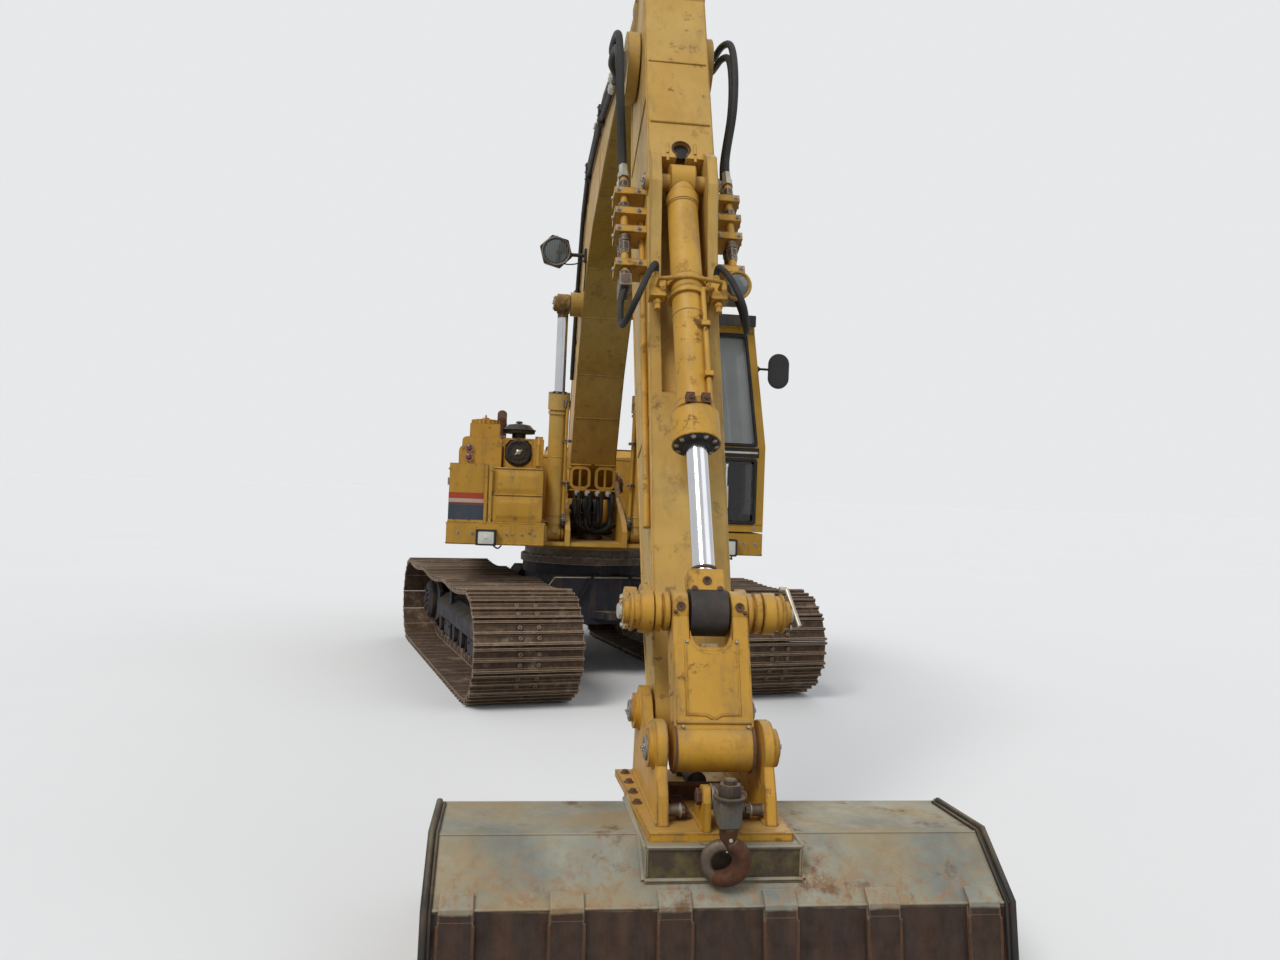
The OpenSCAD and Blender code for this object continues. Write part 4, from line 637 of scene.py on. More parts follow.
with Piece("axle_beam_edges", "undercarriage", "alu", turned=True) as p:
    # weld beads and the worn upper edge of the axle beams
    for x in (-0.727, 0.727):
        p.tube([(x, -0.49, 0.84), (x, 0.49, 0.84)], 0.006)
        for s in (1, -1):
            p.tube([(x, s * y, z) for y, z in (
                (0.49, 0.84), (0.575, 0.725), (0.7, 0.64), (0.815, 0.44))], 0.005)
with Piece("bearing_bolts", "undercarriage", "steel", turned=True) as p:
    p.bolts(around((0, 0, 0.9903), 0.572, 48, X, Y), Z, 0.009)
with Piece("travel_motor_lines", "undercarriage", "rubber", turned=True) as p:
    ahead = ((0.44, 1, 0.853), (0.58, 1.6, 0.856), (0.728, 3.2, 0.846), (0.75, 4.4, 0.76), (0.742, 6, 0.62))
    back = ((-0.44, 1, 0.853), (-0.58, 1.6, 0.856), (-0.73, 3.4, 0.85), (-0.8, 7, 0.72), (-0.9, 11, 0.55),
            (-1.15, 14, 0.46))
    for y in (-0.05, 0.05):
        for line, r in ((ahead, 0.011), (back, 0.013)):
            p.tube(smooth([(x, y * f, z) for x, f, z in line]), r, 10)

# Right side: tool box with its stripes, panels and lamps

PANEL_STEPS = ((0.0, 0.0005), (0.012, 0.004), (0.03, 0.004), (0.04, 0.009), (0.062, 0.0105))
with Piece("step_panels", angle=50) as p:
    for z0, z1, x in ((1.505, 1.712, 1.104), (1.292, 1.497, 1.129)):
        # pressed panel with a crowned field inside a flat rim
        flat = rect(-0.836, z0, -0.452, z1)
        rims = [[(x + lift, y, z) for y, z in rounded(inset(flat, d), 0.012 if d < 0.02 else 0.02)]
                for d, lift in PANEL_STEPS]
        p.bm.faces.new(p.rows(rims)[-1])
with Piece("box_edges", mat="yellow_high", bevel=0.0015) as p:
    p.box((1.1405, -0.873, 1.285), (1.147, -0.847, 1.744))
    p.box((1.1405, -1.18, 1.2805), (1.146, -0.42, 1.292))
    p.tubes(0.006, *[[(x, -0.836, z), (x, -0.452, z)] for x, z in ((1.108, 1.7185), (1.133, 1.5085))])
    p.box((0.70, -1.1835, 1.2805), (1.14, -1.1803, 1.30))
for key, low, high in (("stripe_red", 1.470, 1.515), ("stripe_pale", 1.438, 1.468),
                       ("stripe_slate", 1.304, 1.421)):
    with Piece(key, mat=key) as p:
        p.box((1.1403, -1.1795, low), (1.1415, -0.878, high))
        p.box((0.70, -1.1815, low), (1.139, -1.1803, high))
with Piece("stripe_edge", mat="red") as p:
    p.box((1.1403, -1.1795, 1.423), (1.1417, -0.878, 1.436))
    p.box((0.70, -1.1817, 1.423), (1.139, -1.1803, 1.436))
with Piece("box_latch", mat="steel", bevel=0.001) as p:
    p.lathe((1.02, -1.1815, 1.60), -Y, [(0.026, 0), (0.026, 0.008), (0.018, 0.012)], 20)
    p.box((1.012, -1.2, 1.57), (1.028, -1.191, 1.63))
    for x in (0.78, 0.98):
        p.cyl((x, -1.187, 1.7), (x + 0.08, -1.187, 1.7), 0.008, 12)
        p.box((x, -1.1845, 1.665), (x + 0.08, -1.1803, 1.7))


def lamp_face(name, y, w, h, z, x, cells=14):
    """A square work lamp: rubber frame, ribbed lens and a bulb."""
    flat = rect(y - w / 2, z - h / 2, y + w / 2, z + h / 2)
    with Piece(name + "_frame", mat="plastic", bevel=0.002) as p:
        outer, inner = rounded(flat, 0.018), rounded(inset(flat, 0.014), 0.012)
        p.ring([(x, *q) for q in outer], [(x, *q) for q in inner], X, 0.018)
    with Piece(name + "_lens", mat="lens", angle=80) as p:
        (y0, z0), _, (y1, z1), _ = inset(flat, 0.0142)
        count = range(cells + 1)
        crown = [math.sin(math.pi * i / cells) for i in count]
        grid = [[p.bm.verts.new((
            x + 0.0125 + 0.005 * crown[i] * crown[j] + 0.0012 * (j % 2),
            y0 + (y1 - y0) * j / cells, z0 + (z1 - z0) * i / cells)) for j in count] for i in count]
        for a, b in zip(grid, grid[1:]):
            for j in range(cells):
                p.bm.faces.new((a[j], a[j + 1], b[j + 1], b[j]))
    with Piece(name + "_bulb", mat="lens") as p:
        p.lathe((x + 0.0165, y, z), X, [(0.02, 0), (0.014, 0.003), (0.001, 0.004)], 16)
        low = z - h * 0.18
        p.tube([(x + 0.015, y - w * 0.28, low), (x + 0.0155, y, z - h * 0.23),
                (x + 0.015, y + w * 0.28, low)], 0.0018, 6)


lamp_face("lamp_right", -0.879, 0.152, 0.125, 1.17, 1.2045)
lamp_face("lamp_left", 0.946, 0.162, 0.133, 1.17, CAB_FRONT + 0.0545)
with Piece("lamp_leads", mat="rubber") as p:
    p.tubes(0.006,
            smooth([(1.16, -0.83, 1.115), (1.155, -0.80, 1.09), (1.12, -0.78, 1.085), (1.0, -0.76, 1.10)]),
            smooth([(1.58, 0.99, 1.11), (1.575, 1.0, 1.085), (1.54, 1.0, 1.08), (1.42, 0.98, 1.10)]))

# Deck skirt: bolts, welds and tread plate

with Piece("deck_bolts", mat="steel") as p:
    p.bolts([(1.1502, y, 1.20) for y in (-1.10, -0.99, -0.72, -0.60, -0.50)], X, 0.009)
    p.bolts([(1.5702, y, 1.20) for y in (1.09, 1.18, 0.62, 0.78)], X, 0.009)
    p.bolts([(x, -1.1902, 1.195) for x in (-1.5, -1.1, -0.7, -0.3, 0.1, 0.5, 0.9)], -Y, 0.011)
    p.bolts([(x, 1.1902, 1.195) for x in (-1.5, -1.1, -0.7, -0.3)], Y, 0.011)
    p.bolts([(x, 1.2352, 1.195) for x in (0.2, 0.8, 1.3)], Y, 0.011)
with Piece("deck_weld", mat="yellow_rusty", angle=80) as p:
    for (x0, y0), (x1, y1), z in (((1.1505, -1.185), (1.1505, -0.43), 1.118),
                                  ((1.5705, 0.44), (1.5705, 1.23), 1.118),
                                  ((1.145, -1.1905), (-1.745, -1.1905), 1.118),
                                  ((1.145, -1.1905), (-1.745, -1.1905), 1.272),
                                  ((1.565, 1.2355), (-0.15, 1.2355), 1.118),
                                  ((-0.16, 1.1905), (-1.745, 1.1905), 1.118)):
        p.tube([(x0, y0, z), (x1, y1, z)], 0.005)


def tread(p, xs, ys, z, skip=lambda x, y: False):
    """Tread plate: small raised bars, each across its neighbours."""
    for i, x in enumerate(xs):
        for j, y in enumerate(ys):
            if not skip(x, y):
                t = math.radians(45 if (i + j) % 2 else -45)
                u = Vector((math.cos(t), math.sin(t), 0)) * 0.014
                w = Vector((-math.sin(t), math.cos(t), 0)) * 0.0045
                p.prism([Vector((x, y, z)) + q for q in (u, w, -u, -w)], Z, 0.0022)


with Piece("tread_plate", mat="yellow_rusty") as p:
    tread(p, [-0.12 - k * 0.041 for k in range(14)], [0.50 + k * 0.044 for k in range(15)], 1.2803)
    # none under the feet of the hand rail on the tool box
    tread(p, [0.72 + k * 0.045 for k in range(7)], [-0.84 + k * 0.04 for k in range(10)], 1.7153,
          lambda x, y: y > -0.53 and not 0.79 < x < 0.98)

# Tanks: filler cap, seams, sight glasses, level gauge and lid

TANK_TOP, FILLER = 1.98, Vector((0.405, -0.937, 0))
with Piece("filler_cap_grip", mat="yellow_rusty", angle=40) as p:
    for at in around(FILLER + Z * (TANK_TOP + 0.121), 0.116, 20, X, Y):
        p.cyl(at, at + Z * 0.034, 0.006, 8)
    p.lathe(FILLER + Z * (TANK_TOP + 0.158), Z,
            [(0.09, 0), (0.09, 0.004), (0.03, 0.012), (0.03, 0.02), (0.001, 0.022)])
    p.tube(smooth([FILLER + Vector((x, 0, TANK_TOP + z)) for x, z in (
        (-0.06, 0.165), (-0.05, 0.19), (0, 0.2), (0.05, 0.19), (0.06, 0.165))]), 0.007, 10)
with Piece("tank_seams", mat="yellow_high", angle=80) as p:
    fuel = ((-1.1165, 1.285), (-1.1165, 1.94), (-1.108, 1.966), (-1.078, 1.9825), (-0.80, 1.9825))
    oil = ((-1.1765, 1.285), (-1.1765, 1.88), (-1.158, 1.925), (-1.115, 1.9415), (-0.46, 1.9415))
    for x, line in ((0.11, fuel), (0.58, fuel), (-0.60, oil), (-0.07, oil)):
        p.tube([(x, y, z) for y, z in line], 0.004)
SIGHTS = [Vector((0.689, -1.055, z)) for z in (1.883, 1.808)]
with Piece("sight_rims", mat="steel") as p:
    for c in SIGHTS:
        p.lathe(c, X, [(0.034, 0), (0.034, 0.004), (0.026, 0.004), (0.026, 0.002)], 28)
        p.bolts(around(c + X * 0.004, 0.03, 4, Z, Y, math.pi / 4), X, 0.0032)
with Piece("sight_glasses", mat="red", angle=60) as p:
    for c in SIGHTS:
        p.lathe(c + X * 0.0022, X, [(0.026, 0), (0.02, 0.004), (0.008, 0.006), (0.001, 0.0062)], 24)
with Piece("level_gauge_back", mat="steel", bevel=0.001) as p:
    p.box((-0.46, -1.1785, 1.4), (-0.40, -1.1753, 1.75))
    p.bolts([(-0.43, -1.1785, z) for z in (1.42, 1.73)], -Y, 0.008)
with Piece("level_gauge_tube", mat="lens") as p:
    p.cyl((-0.43, -1.186, 1.44), (-0.43, -1.186, 1.71), 0.009, 14)
with Piece("tank_lid_bolts", mat="steel", angle=50) as p:
    p.lathe((-0.334, -0.82, 1.9705), Z, [(0.122, 0), (0.122, 0.004), (0.11, 0.004)])
    p.bolts(around((-0.334, -0.82, 1.9683), 0.105, 8, X, Y), Z, 0.009)
    p.lathe((-0.334, -0.82, 2.0263), Z, [(0.05, 0), (0.05, 0.016), (0.04, 0.022), (0.001, 0.024)], 20)

# Air cleaner: end cover with its clamp and wing nut, ribbed cap over the intake

AIR, INTAKE = Vector((0.652, -0.65, 1.865)), Vector((0.31, -0.65, 2.04))
with Piece("air_cleaner_cover", mat="black", bevel=0.0015, angle=40) as p:
    p.lathe(AIR, X,
            [(0.104, 0), (0.106, 0.006), (0.1, 0.012), (0.086, 0.013), (0.084, 0.006), (0.064, 0.006)], 48)
    for k in range(6):
        p.box((-0.004, -0.009, 0.066), (0.012, 0.009, 0.1),
              Matrix.Translation(AIR) @ Matrix.Rotation(math.pi * k / 3, 4, "X"))
with Piece("air_cleaner_nut", mat="alu", bevel=0.001) as p:
    p.lathe(AIR + X * 0.0123, X, [(0.022, 0), (0.022, 0.01), (0.011, 0.016), (0.001, 0.017)], 20)
    p.box((0.018, -0.036, -0.006), (0.026, 0.036, 0.006),
          Matrix.Translation(AIR) @ Matrix.Rotation(0.6, 4, "X"))
with Piece("intake_cap_fins", mat="black", angle=40) as p:
    for k in range(28):
        p.box((0.06, -0.003, 0.004), (0.139, 0.003, 0.03),
              Matrix.Translation(INTAKE) @ Matrix.Rotation(math.pi * k / 14, 4, "Z"))
    p.lathe(INTAKE + Z * 0.0905, Z, [(0.03, 0), (0.03, 0.01), (0.018, 0.018), (0.001, 0.02)], 16)
    p.tube(around(INTAKE + Z * 0.03, 0.143, 40, X, Y), 0.005, closed=True)
with Piece("cleaner_box_edges", mat="yellow_high", bevel=0.001) as p:
    p.box((0.19, -0.77, 1.9805), (0.63, -0.52, 1.9835))
    p.tube([(0.6405, y, z) for y, z in (
        (-0.765, 1.75), (-0.765, 1.97), (-0.535, 1.97), (-0.535, 1.75))], 0.005)

# Cab walls: each gives the place of a 2-D point on its surface, moved out


def on_front_wall(q, out):
    return Vector((front_x(q[1]) + out, q[0], q[1]))


def on_rear_wall(q, out):
    return Vector((CAB_REAR + 0.04 * max(0, q[1] - WAIST) - out, q[0], q[1]))


def on_left_wall(q, out):
    return Vector((q[0], CAB_OUT - side_in(q[1]) + out, q[1]))


def on_right_wall(q, out):
    return Vector((q[0], CAB_IN + 0.6 * side_in(q[1]) - out, q[1]))


DOOR = "cab_door_body"
WINDSCREEN = [(0.525, 1.96), (1.16, 1.96), (1.16 - side_in(HEAD), HEAD), (0.525 + 0.6 * side_in(HEAD), HEAD)]
DOOR_WINDOW = [(0.761, 1.91), (1.409, 1.91), (1.409, 1.95), (1.354, 2.759), (0.761, 2.759)]
for name, wall, out, pane, body in (
        ("windscreen", on_front_wall, X, WINDSCREEN, "upper"),
        ("lower_pane", on_front_wall, X, rect(0.525, 1.362, 1.16, 1.845), "upper"),
        ("rear_window", on_rear_wall, -X, rect(0.58, 1.89, 1.045, HEAD), "upper"),
        ("right_window", on_right_wall, -Y, rect(0.25, 1.85, 1.30, HEAD), "upper"),
        ("quarter_window", on_left_wall, Y, rect(0.25, 1.89, 0.61, HEAD), "upper"),
        ("door_window", on_left_wall, Y, DOOR_WINDOW, DOOR),
        ("door_lower_pane", on_left_wall, Y, rect(0.761, 1.408, 1.409, 1.842), DOOR)):
    with Piece(name + "_gasket", body, "gasket", 0.003, 50) as p:
        outer, inner = rounded(inset(pane, -0.014), 0.03), rounded(inset(pane, 0.012), 0.02)
        p.ring([wall(q, 0.0006) for q in outer], [wall(q, 0.0006) for q in inner], out, 0.010)
    with Piece(name + "_bead", body, "plastic", angle=80) as p:
        p.tube([wall(q, 0.0116) for q in rounded(inset(pane, -0.001), 0.025)], 0.0045, closed=True)

with Piece("window_rail", mat="gasket", bevel=0.002) as p:
    p.prism([on_front_wall(q, 0.0006) for q in rect(0.50, 1.865, 1.185, 1.938)], X, 0.007)
with Piece("window_rail_strip", mat="alu", bevel=0.001) as p:
    p.prism([on_front_wall(q, 0.0081) for q in rect(0.51, 1.893, 1.175, 1.909)], X, 0.004)

# Roof: visor, stepped band, drip rail and hatch

with Piece("roof_visor", mat="black", bevel=0.006) as p:
    p.box((1.455, 0.532, 2.868), (1.5995, 1.12, 2.956))
with Piece("roof_band", mat="yellow_cab", bevel=0.002) as p:
    p.prism([(front_x(2.85) + x, 0.54, z) for x, z in (
        (0.0005, 2.824), (0.012, 2.824), (0.03, 2.846), (0.03, 2.8672), (-0.002, 2.8672))], Y, 0.585)
with Piece("roof_drip_rail", mat="yellow_cab", angle=60) as p:
    for wall in (on_left_wall, on_right_wall):
        p.tube([wall((x, 2.905), 0.004) for x in (0.12, 0.4, 0.8, 1.2, 1.47)], 0.007)
    p.tube([on_rear_wall((y, 2.905), 0.004) for y in (0.53, 0.8, 1.1)], 0.007)
with Piece("roof_hatch", mat="yellow_cab", bevel=0.008) as p:
    p.box((0.435, 0.655, 2.9153), (1.025, 1.02, 2.946))
with Piece("roof_hatch_ribs", mat="yellow_cab", bevel=0.003) as p:
    for k in range(4):
        p.box((0.50, 0.705 + k * 0.08, 2.9465), (0.96, 0.73 + k * 0.08, 2.952))
with Piece("roof_hatch_hinges", mat="steel", bevel=0.001) as p:
    for y in (0.70, 0.97):
        p.cyl((0.425, y - 0.03, 2.9475), (0.425, y + 0.03, 2.9475), 0.007, 14)
        p.box((0.405, y - 0.028, 2.9405), (0.47, y + 0.028, 2.9435))

# Wiper, and the gas spring of the front window's lower part

with Piece("wiper_arm", mat="plastic", angle=60) as p:
    base = on_front_wall((0.56, 1.925), 0.012)
    p.lathe(base, X, [(0.022, 0), (0.022, 0.014), (0.012, 0.022)], 20)
    p.tube([base + X * 0.018, base + Vector((0.026, 0.01, 0.03)), on_front_wall((0.74, 2.42), 0.032)], 0.005)
    a, b = on_front_wall((0.73, 2.12), 0.026), on_front_wall((0.75, 2.66), 0.026)
    p.tube([a, (a + b) / 2, b], 0.0055)
with Piece("wiper_blade", mat="rubber") as p:
    a, b = on_front_wall((0.73, 2.10), 0.0165), on_front_wall((0.75, 2.68), 0.0165)
    w = (b - a).normalized().cross(X).normalized() * 0.004
    p.prism([a + w, a - w, b - w, b + w], X, 0.007)
SPRING_X = 1.5935
with Piece("gas_spring_body", mat="alu", angle=40) as p:
    p.cyl((SPRING_X, 0.935, 1.475), (SPRING_X, 0.933, 1.64), 0.0195)
    p.lathe((SPRING_X, 0.935, 1.462), Z, [(0.008, 0), (0.018, 0.013)], 20)
with Piece("gas_spring_rod", mat="chrome", angle=40) as p:
    p.cyl((SPRING_X, 0.933, 1.64), (SPRING_X, 0.932, 1.80), 0.0075, 16)
    p.lathe((SPRING_X, 0.932, 1.785), Z, [(0.01, 0), (0.014, 0.01), (0.01, 0.022)], 16)
with Piece("gas_spring_brackets", mat="steel", bevel=0.001) as p:
    for z in (1.468, 1.80):
        p.cyl((1.5705, 0.933, z), (1.603, 0.933, z), 0.006, 12)
        p.box((1.5705, 0.915, z - 0.016), (1.5735, 0.951, z + 0.016))

# Door: handle, lock and seam, with the grab bar beside it

with Piece("door_handle_plate", DOOR, "plastic", 0.002) as p:
    p.prism([on_left_wall(q, 0.001) for q in rect(1.30, 1.852, 1.44, 1.898)], Y, 0.006)
with Piece("door_handle", DOOR, "alu", angle=60) as p:
    p.tube(smooth([on_left_wall((x, 1.875), out) for x, out in (
        (1.32, 0.008), (1.325, 0.028), (1.36, 0.033), (1.41, 0.028), (1.42, 0.008))]), 0.007, 10)
    p.lathe(on_left_wall((1.43, 1.862), 0.007), Y, [(0.008, 0), (0.008, 0.006)], 14)
with Piece("door_seam", DOOR, "yellow_cab", angle=80) as p:
    p.tube([on_left_wall((x, 1.36), 0.001) for x in (0.72, 1.46)], 0.003, 6)
with Piece("cab_grab_bar", mat="yellow_rusty", angle=60) as p:
    bar = ((1.45, 0.002), (1.455, 0.045), (1.52, 0.055), (1.78, 0.055), (1.845, 0.045), (1.85, 0.002))
    p.tube(smooth([on_left_wall((0.655, z), out) for z, out in bar], 5), 0.011, 12)
    for z in (1.45, 1.85):
        p.lathe(on_left_wall((0.655, z), 0.0005), Y, [(0.024, 0), (0.024, 0.004), (0.014, 0.006)], 18)
with Piece("cab_bolts", mat="steel") as p:
    for x in (0.17, 0.45, 0.75, 1.05, 1.35, 1.5):
        p.bolt((x, CAB_OUT + 0.0005, 1.315), Y, 0.008)
        p.bolt((x, CAB_IN - 0.0005, 1.315), -Y, 0.008)
    p.bolts([(CAB_FRONT + 0.0005, y, 1.325) for y in (0.53, 0.75, 0.95, 1.16)], X, 0.008)
with Piece("cab_seams", mat="yellow_cab", angle=80) as p:
    p.tube([(CAB_FRONT + 0.001, y, 1.352) for y in (0.455, 1.23)], 0.004)
    for z, x0, x1 in ((1.342, 0.055, 0.68), (1.95, 0.06, 0.68)):
        p.tube([(x, CAB_OUT + 0.001, z) for x in (x0, x1)], 0.004)
with Piece("cab_rear_vent", mat="black", bevel=0.0015) as p:
    for k in range(7):
        p.box((0.044, 0.72, 1.46 + k * 0.045), (0.0496, 0.96, 1.475 + k * 0.045))
    p.ring(*[[(0.0495, *q) for q in rounded(inset(rect(0.69, 1.43, 0.99, 1.78), d), r)]
             for d, r in ((0, 0.02), (0.015, 0.012))], -X, 0.008)

# Mirror: shell over the model's plate, face and glass

MIRROR = Vector((1.63, 1.295, 2.53))
OVAL = [(0.075 * math.cos(t), (0.05 if math.sin(t) > 0 else -0.05) + 0.075 * math.sin(t))
        for t in (2 * math.pi * (k + 0.5) / 36 for k in range(36))]
with Piece("mirror_shell", mat="plastic", angle=40) as p:
    p.sweep([[MIRROR + Vector((dx, y * s, z * s)) for y, z in OVAL] for s, dx in (
        (0.97, 0.0345), (1.06, 0.034), (1.08, 0.02), (1.05, 0.004), (0.9, -0.008), (0.6, -0.014),
        (0.2, -0.016))])
with Piece("mirror_face", mat="plastic", angle=40) as p:
    p.prism([MIRROR + Vector((0.0352, y * 0.93, z * 0.95)) for y, z in OVAL], X, 0.002)
with Piece("mirror_glass", mat="mirror", angle=40) as p:
    p.prism([MIRROR + Vector((-0.0165, y * 0.86, z * 0.9)) for y, z in OVAL], -X, 0.0015)

# Inside the cab: seat, arm rests, lever boots, mat, gauges and lining

SEAT = Vector((0.57, 0.8425, CAB_FLOOR))


def cushion(name, centre, size, tilt, crown, cuts=10, corner=0.16):
    """A crowned cushion with piped edges and two sewn channels, its sides pulled in between the corners."""
    hx, hy, hz = (v / 2 for v in size)
    m = Matrix.Translation(centre) @ Matrix.Rotation(tilt, 4, "Y")
    with Piece(name, mat="cloth", angle=80) as p:
        bmesh.ops.create_cube(p.bm, size=2.0)
        bmesh.ops.subdivide_edges(p.bm, edges=p.bm.edges[:], cuts=cuts, use_grid_fill=True)
        for v in p.bm.verts:
            x, y, z = v.co
            core = Vector([max(corner - 1, min(1 - corner, c)) for c in v.co])
            off = v.co - core
            q = core + off.normalized() * corner if off.length > 1e-6 else v.co
            pull = 1 - 0.05 * (1 - abs(x)) * (abs(y) > 0.9) - 0.05 * (1 - abs(y)) * (abs(x) > 0.9)
            channel = 0.012 * sum(math.exp(-((y + c) / 0.07) ** 2) for c in (-0.45, 0.45)) / max(hz, 0.02)
            top = 1 + (crown * (1 - x * x) * (1 - y * y) - channel) * (z > 0.5)
            v.co = m @ Vector((q[0] * hx * pull, q[1] * hy * pull, q[2] * hz * top))
    sub = p.obj.modifiers.new("smooth", "SUBSURF")
    sub.levels = sub.render_levels = 1
    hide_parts("seat")
    with Piece(name + "_piping", mat="plastic", angle=80) as p:
        edge = rounded(rect(-0.985, -0.985, 0.985, 0.985), corner, 5)
        for z in (0.72, -0.72):
            p.tube([m @ Vector((a * hx, b * hy, z * hz)) for a, b in edge], 0.0045, closed=True)


cushion("seat_cushion", SEAT + Vector((0.01, 0, 0.33)), (0.48, 0.48, 0.13), math.radians(-3), 0.28)
cushion("seat_back", SEAT + Vector((-0.235, 0, 0.62)), (0.56, 0.46, 0.11), math.radians(-100), 0.35)
with Piece("seat_suspension", mat="plastic", bevel=0.01) as p:
    for k in range(6):
        r, z = 0.165 if k % 2 else 0.145, 0.03 + k * 0.036
        p.box(SEAT + Vector((-r, -r, z)), SEAT + Vector((r, r, z + 0.037)))
    p.box(SEAT + Vector((-0.17, -0.17, 0)), SEAT + Vector((0.17, 0.17, 0.028)))
    p.box(SEAT + Vector((-0.2, -0.21, 0.246)), SEAT + Vector((0.23, 0.21, 0.262)))
with Piece("arm_rests", mat="plastic", bevel=0.014, segments=3) as p:
    for s in (-1, 1):
        c = SEAT + Y * s * 0.262
        p.box(c + Vector((-0.21, -0.028, 0.545)), c + Vector((0.12, 0.028, 0.59)))
        p.box(c + Vector((-0.225, -0.012, 0.48)), c + Vector((-0.17, 0.012, 0.565)))
with Piece("lever_boots", mat="rubber", angle=50) as p:
    for s in (-1, 1):
        foot = SEAT + Vector((0.30, s * 0.30, 0.479))
        for k in range(5):
            r = 0.042 - k * 0.006
            p.lathe(foot + Z * (0.004 + k * 0.014), Z, [(r, 0), (r + 0.004, 0.007), (r - 0.006, 0.014)], 24)
        p.lathe(foot + Z * 0.15, Z,
                [(0.014, 0), (0.02, 0.02), (0.024, 0.055), (0.02, 0.075), (0.001, 0.082)], 20)
    for s in (-1, 1):
        foot = Vector((CAB_FRONT - 0.33, SEAT[1] + s * 0.07, CAB_FLOOR + 0.04))
        p.lathe(foot, Z, [(0.036, 0), (0.03, 0.02), (0.014, 0.05)], 20)
        p.lathe(foot + Z * 0.55, Z, [(0.013, 0), (0.017, 0.01), (0.017, 0.09), (0.001, 0.1)], 18)
        p.box(foot + Vector((0.005, -0.038, 0.05)), foot + Vector((0.105, 0.038, 0.062)))
with Piece("floor_mat", mat="rubber", bevel=0.001) as p:
    p.box((0.75, 0.53, CAB_FLOOR + 0.0005), (1.50, 1.155, CAB_FLOOR + 0.006))
    for k in range(12):
        p.box((0.78, 0.56 + k * 0.048, CAB_FLOOR + 0.006), (1.47, 0.575 + k * 0.048, CAB_FLOOR + 0.009))
with Piece("gauge_post", mat="plastic", bevel=0.008) as p:
    p.box((1.28, 0.52, 1.36), (1.42, 0.60, 1.88))
    p.box((1.24, 0.52, 1.86), (1.43, 0.68, 1.90))
with Piece("gauges", mat="alu") as p:
    for y in (0.555, 0.605, 0.65):
        p.lathe((1.2395, y, 1.88), -X, [(0.016, 0), (0.016, 0.004), (0.013, 0.004), (0.013, 0.002)], 20)
with Piece("cab_lining", mat="lining", bevel=0.004) as p:
    p.box((0.14, 0.60, 2.875), (1.44, 1.05, 2.888))
    p.box((0.1025, 0.56, 1.40), (0.106, 1.12, 1.86))

# Boom: weld beads, pin caps, clamps, hoses, lamp, greasing lines

BOOM, STICK, LINK, ROCKER, BUCKET = "boom_body", "stick_body", "power_link_body", "rocker_body", "bucket_body"
BOOM_LOW = [(0.42, 1.80), (0.64, 2.18), (0.86, 2.52), (1.23, 2.93), (1.60, 3.24), (2.10, 3.45), (2.90, 3.61),
            (3.56, 3.72)]
BOOM_HIGH = [(-0.135, 1.75), (-0.11, 2.15), (0.13, 2.70), (0.50, 3.35), (0.95, 3.83), (1.40, 4.08),
             (1.90, 4.18), (2.60, 4.18), (3.30, 4.07), (3.70, 3.93), (4.05, 3.86)]
SPLICES = (((0.86, 2.52), (0.30, 3.02)), ((1.60, 3.24), (1.28, 4.01)), ((2.50, 3.53), (2.42, 4.18)),
           ((3.56, 3.72), (3.50, 4.0)))


def shift_in(line, d):
    """An open line in X and Z moved to its left by d."""
    out = []
    for i, p in enumerate(line):
        t = (Vector(line[min(i + 1, len(line) - 1)]) - Vector(line[max(i - 1, 0)])).normalized()
        out.append((p[0] - t[1] * d, p[1] + t[0] * d))
    return out


with Piece("boom_welds", BOOM, "yellow_high", angle=80) as p:
    for s in (-1, 1):
        for line, d in ((BOOM_LOW, 0.016), (BOOM_HIGH, -0.016)):
            p.tube([(x, s * (BOOM_SIDE + 0.001), z) for x, z in shift_in(line, d)], 0.0065)
        for splice in SPLICES:
            a, b = (Vector((x, s * (BOOM_SIDE + 0.0008), z)) for x, z in splice)
            p.tube([a + (b - a) * 0.02, b - (b - a) * 0.02], 0.0055)
        # rings round the bosses of the rods' pin
        p.tube(around(BOOM_EYE + Y * s * (BOOM_SIDE + 0.0008), 0.112, 32), 0.006, closed=True)
    for line, lift in ((BOOM_LOW[1:6], -0.001), (BOOM_HIGH[2:9], 0.001)):
        for x, z in line:
            p.tube([(x, y, z + lift) for y in (0.01 - BOOM_SIDE, BOOM_SIDE - 0.01)], 0.006)
with Piece("boom_pin_caps", BOOM, "steel", angle=40) as p:
    for s in (-1, 1):
        pin_cap(p, STICK_FOOT, s, 0.2102, 0.075, 4)
        pin_cap(p, STICK_CYL, s, 0.1602, 0.043)
with Piece("boom_rod_pin_caps", "boom_rod_body", "steel", angle=40) as p:
    for s in (-1, 1):
        pin_cap(p, BOOM_EYE, s, CYL_Y + 0.0712, 0.054)

PIPE_Y, PIPE_STEP, HOSE_R = 0.212, 0.031, 0.017
with Piece("pipe_clamp_bolts", BOOM, "steel") as p:
    for s in (-1, 1):
        for x, z in ((0.70, 3.18), (1.60, 3.96), (2.70, 3.98)):
            p.bolts([(x, s * (BOOM_SIDE + 0.0445), z + dz) for dz in (-0.052, 0.0, 0.052)], Y * s, 0.008)
with Piece("boom_pipe_unions", BOOM, "alu") as p:
    for s in (-1, 1):
        for k in (-1, 1):
            a, b = (Vector((x, s * PIPE_Y, z + k * PIPE_STEP)) for x, z in ((3.40, 3.8935), (3.50, 3.88)))
            p.lathe(a, b - a, [(0.024, 0), (0.024, 0.028), (0.021, 0.03), (0.021, 0.07), (0.026, 0.072),
                               (0.026, 0.1)], 6)

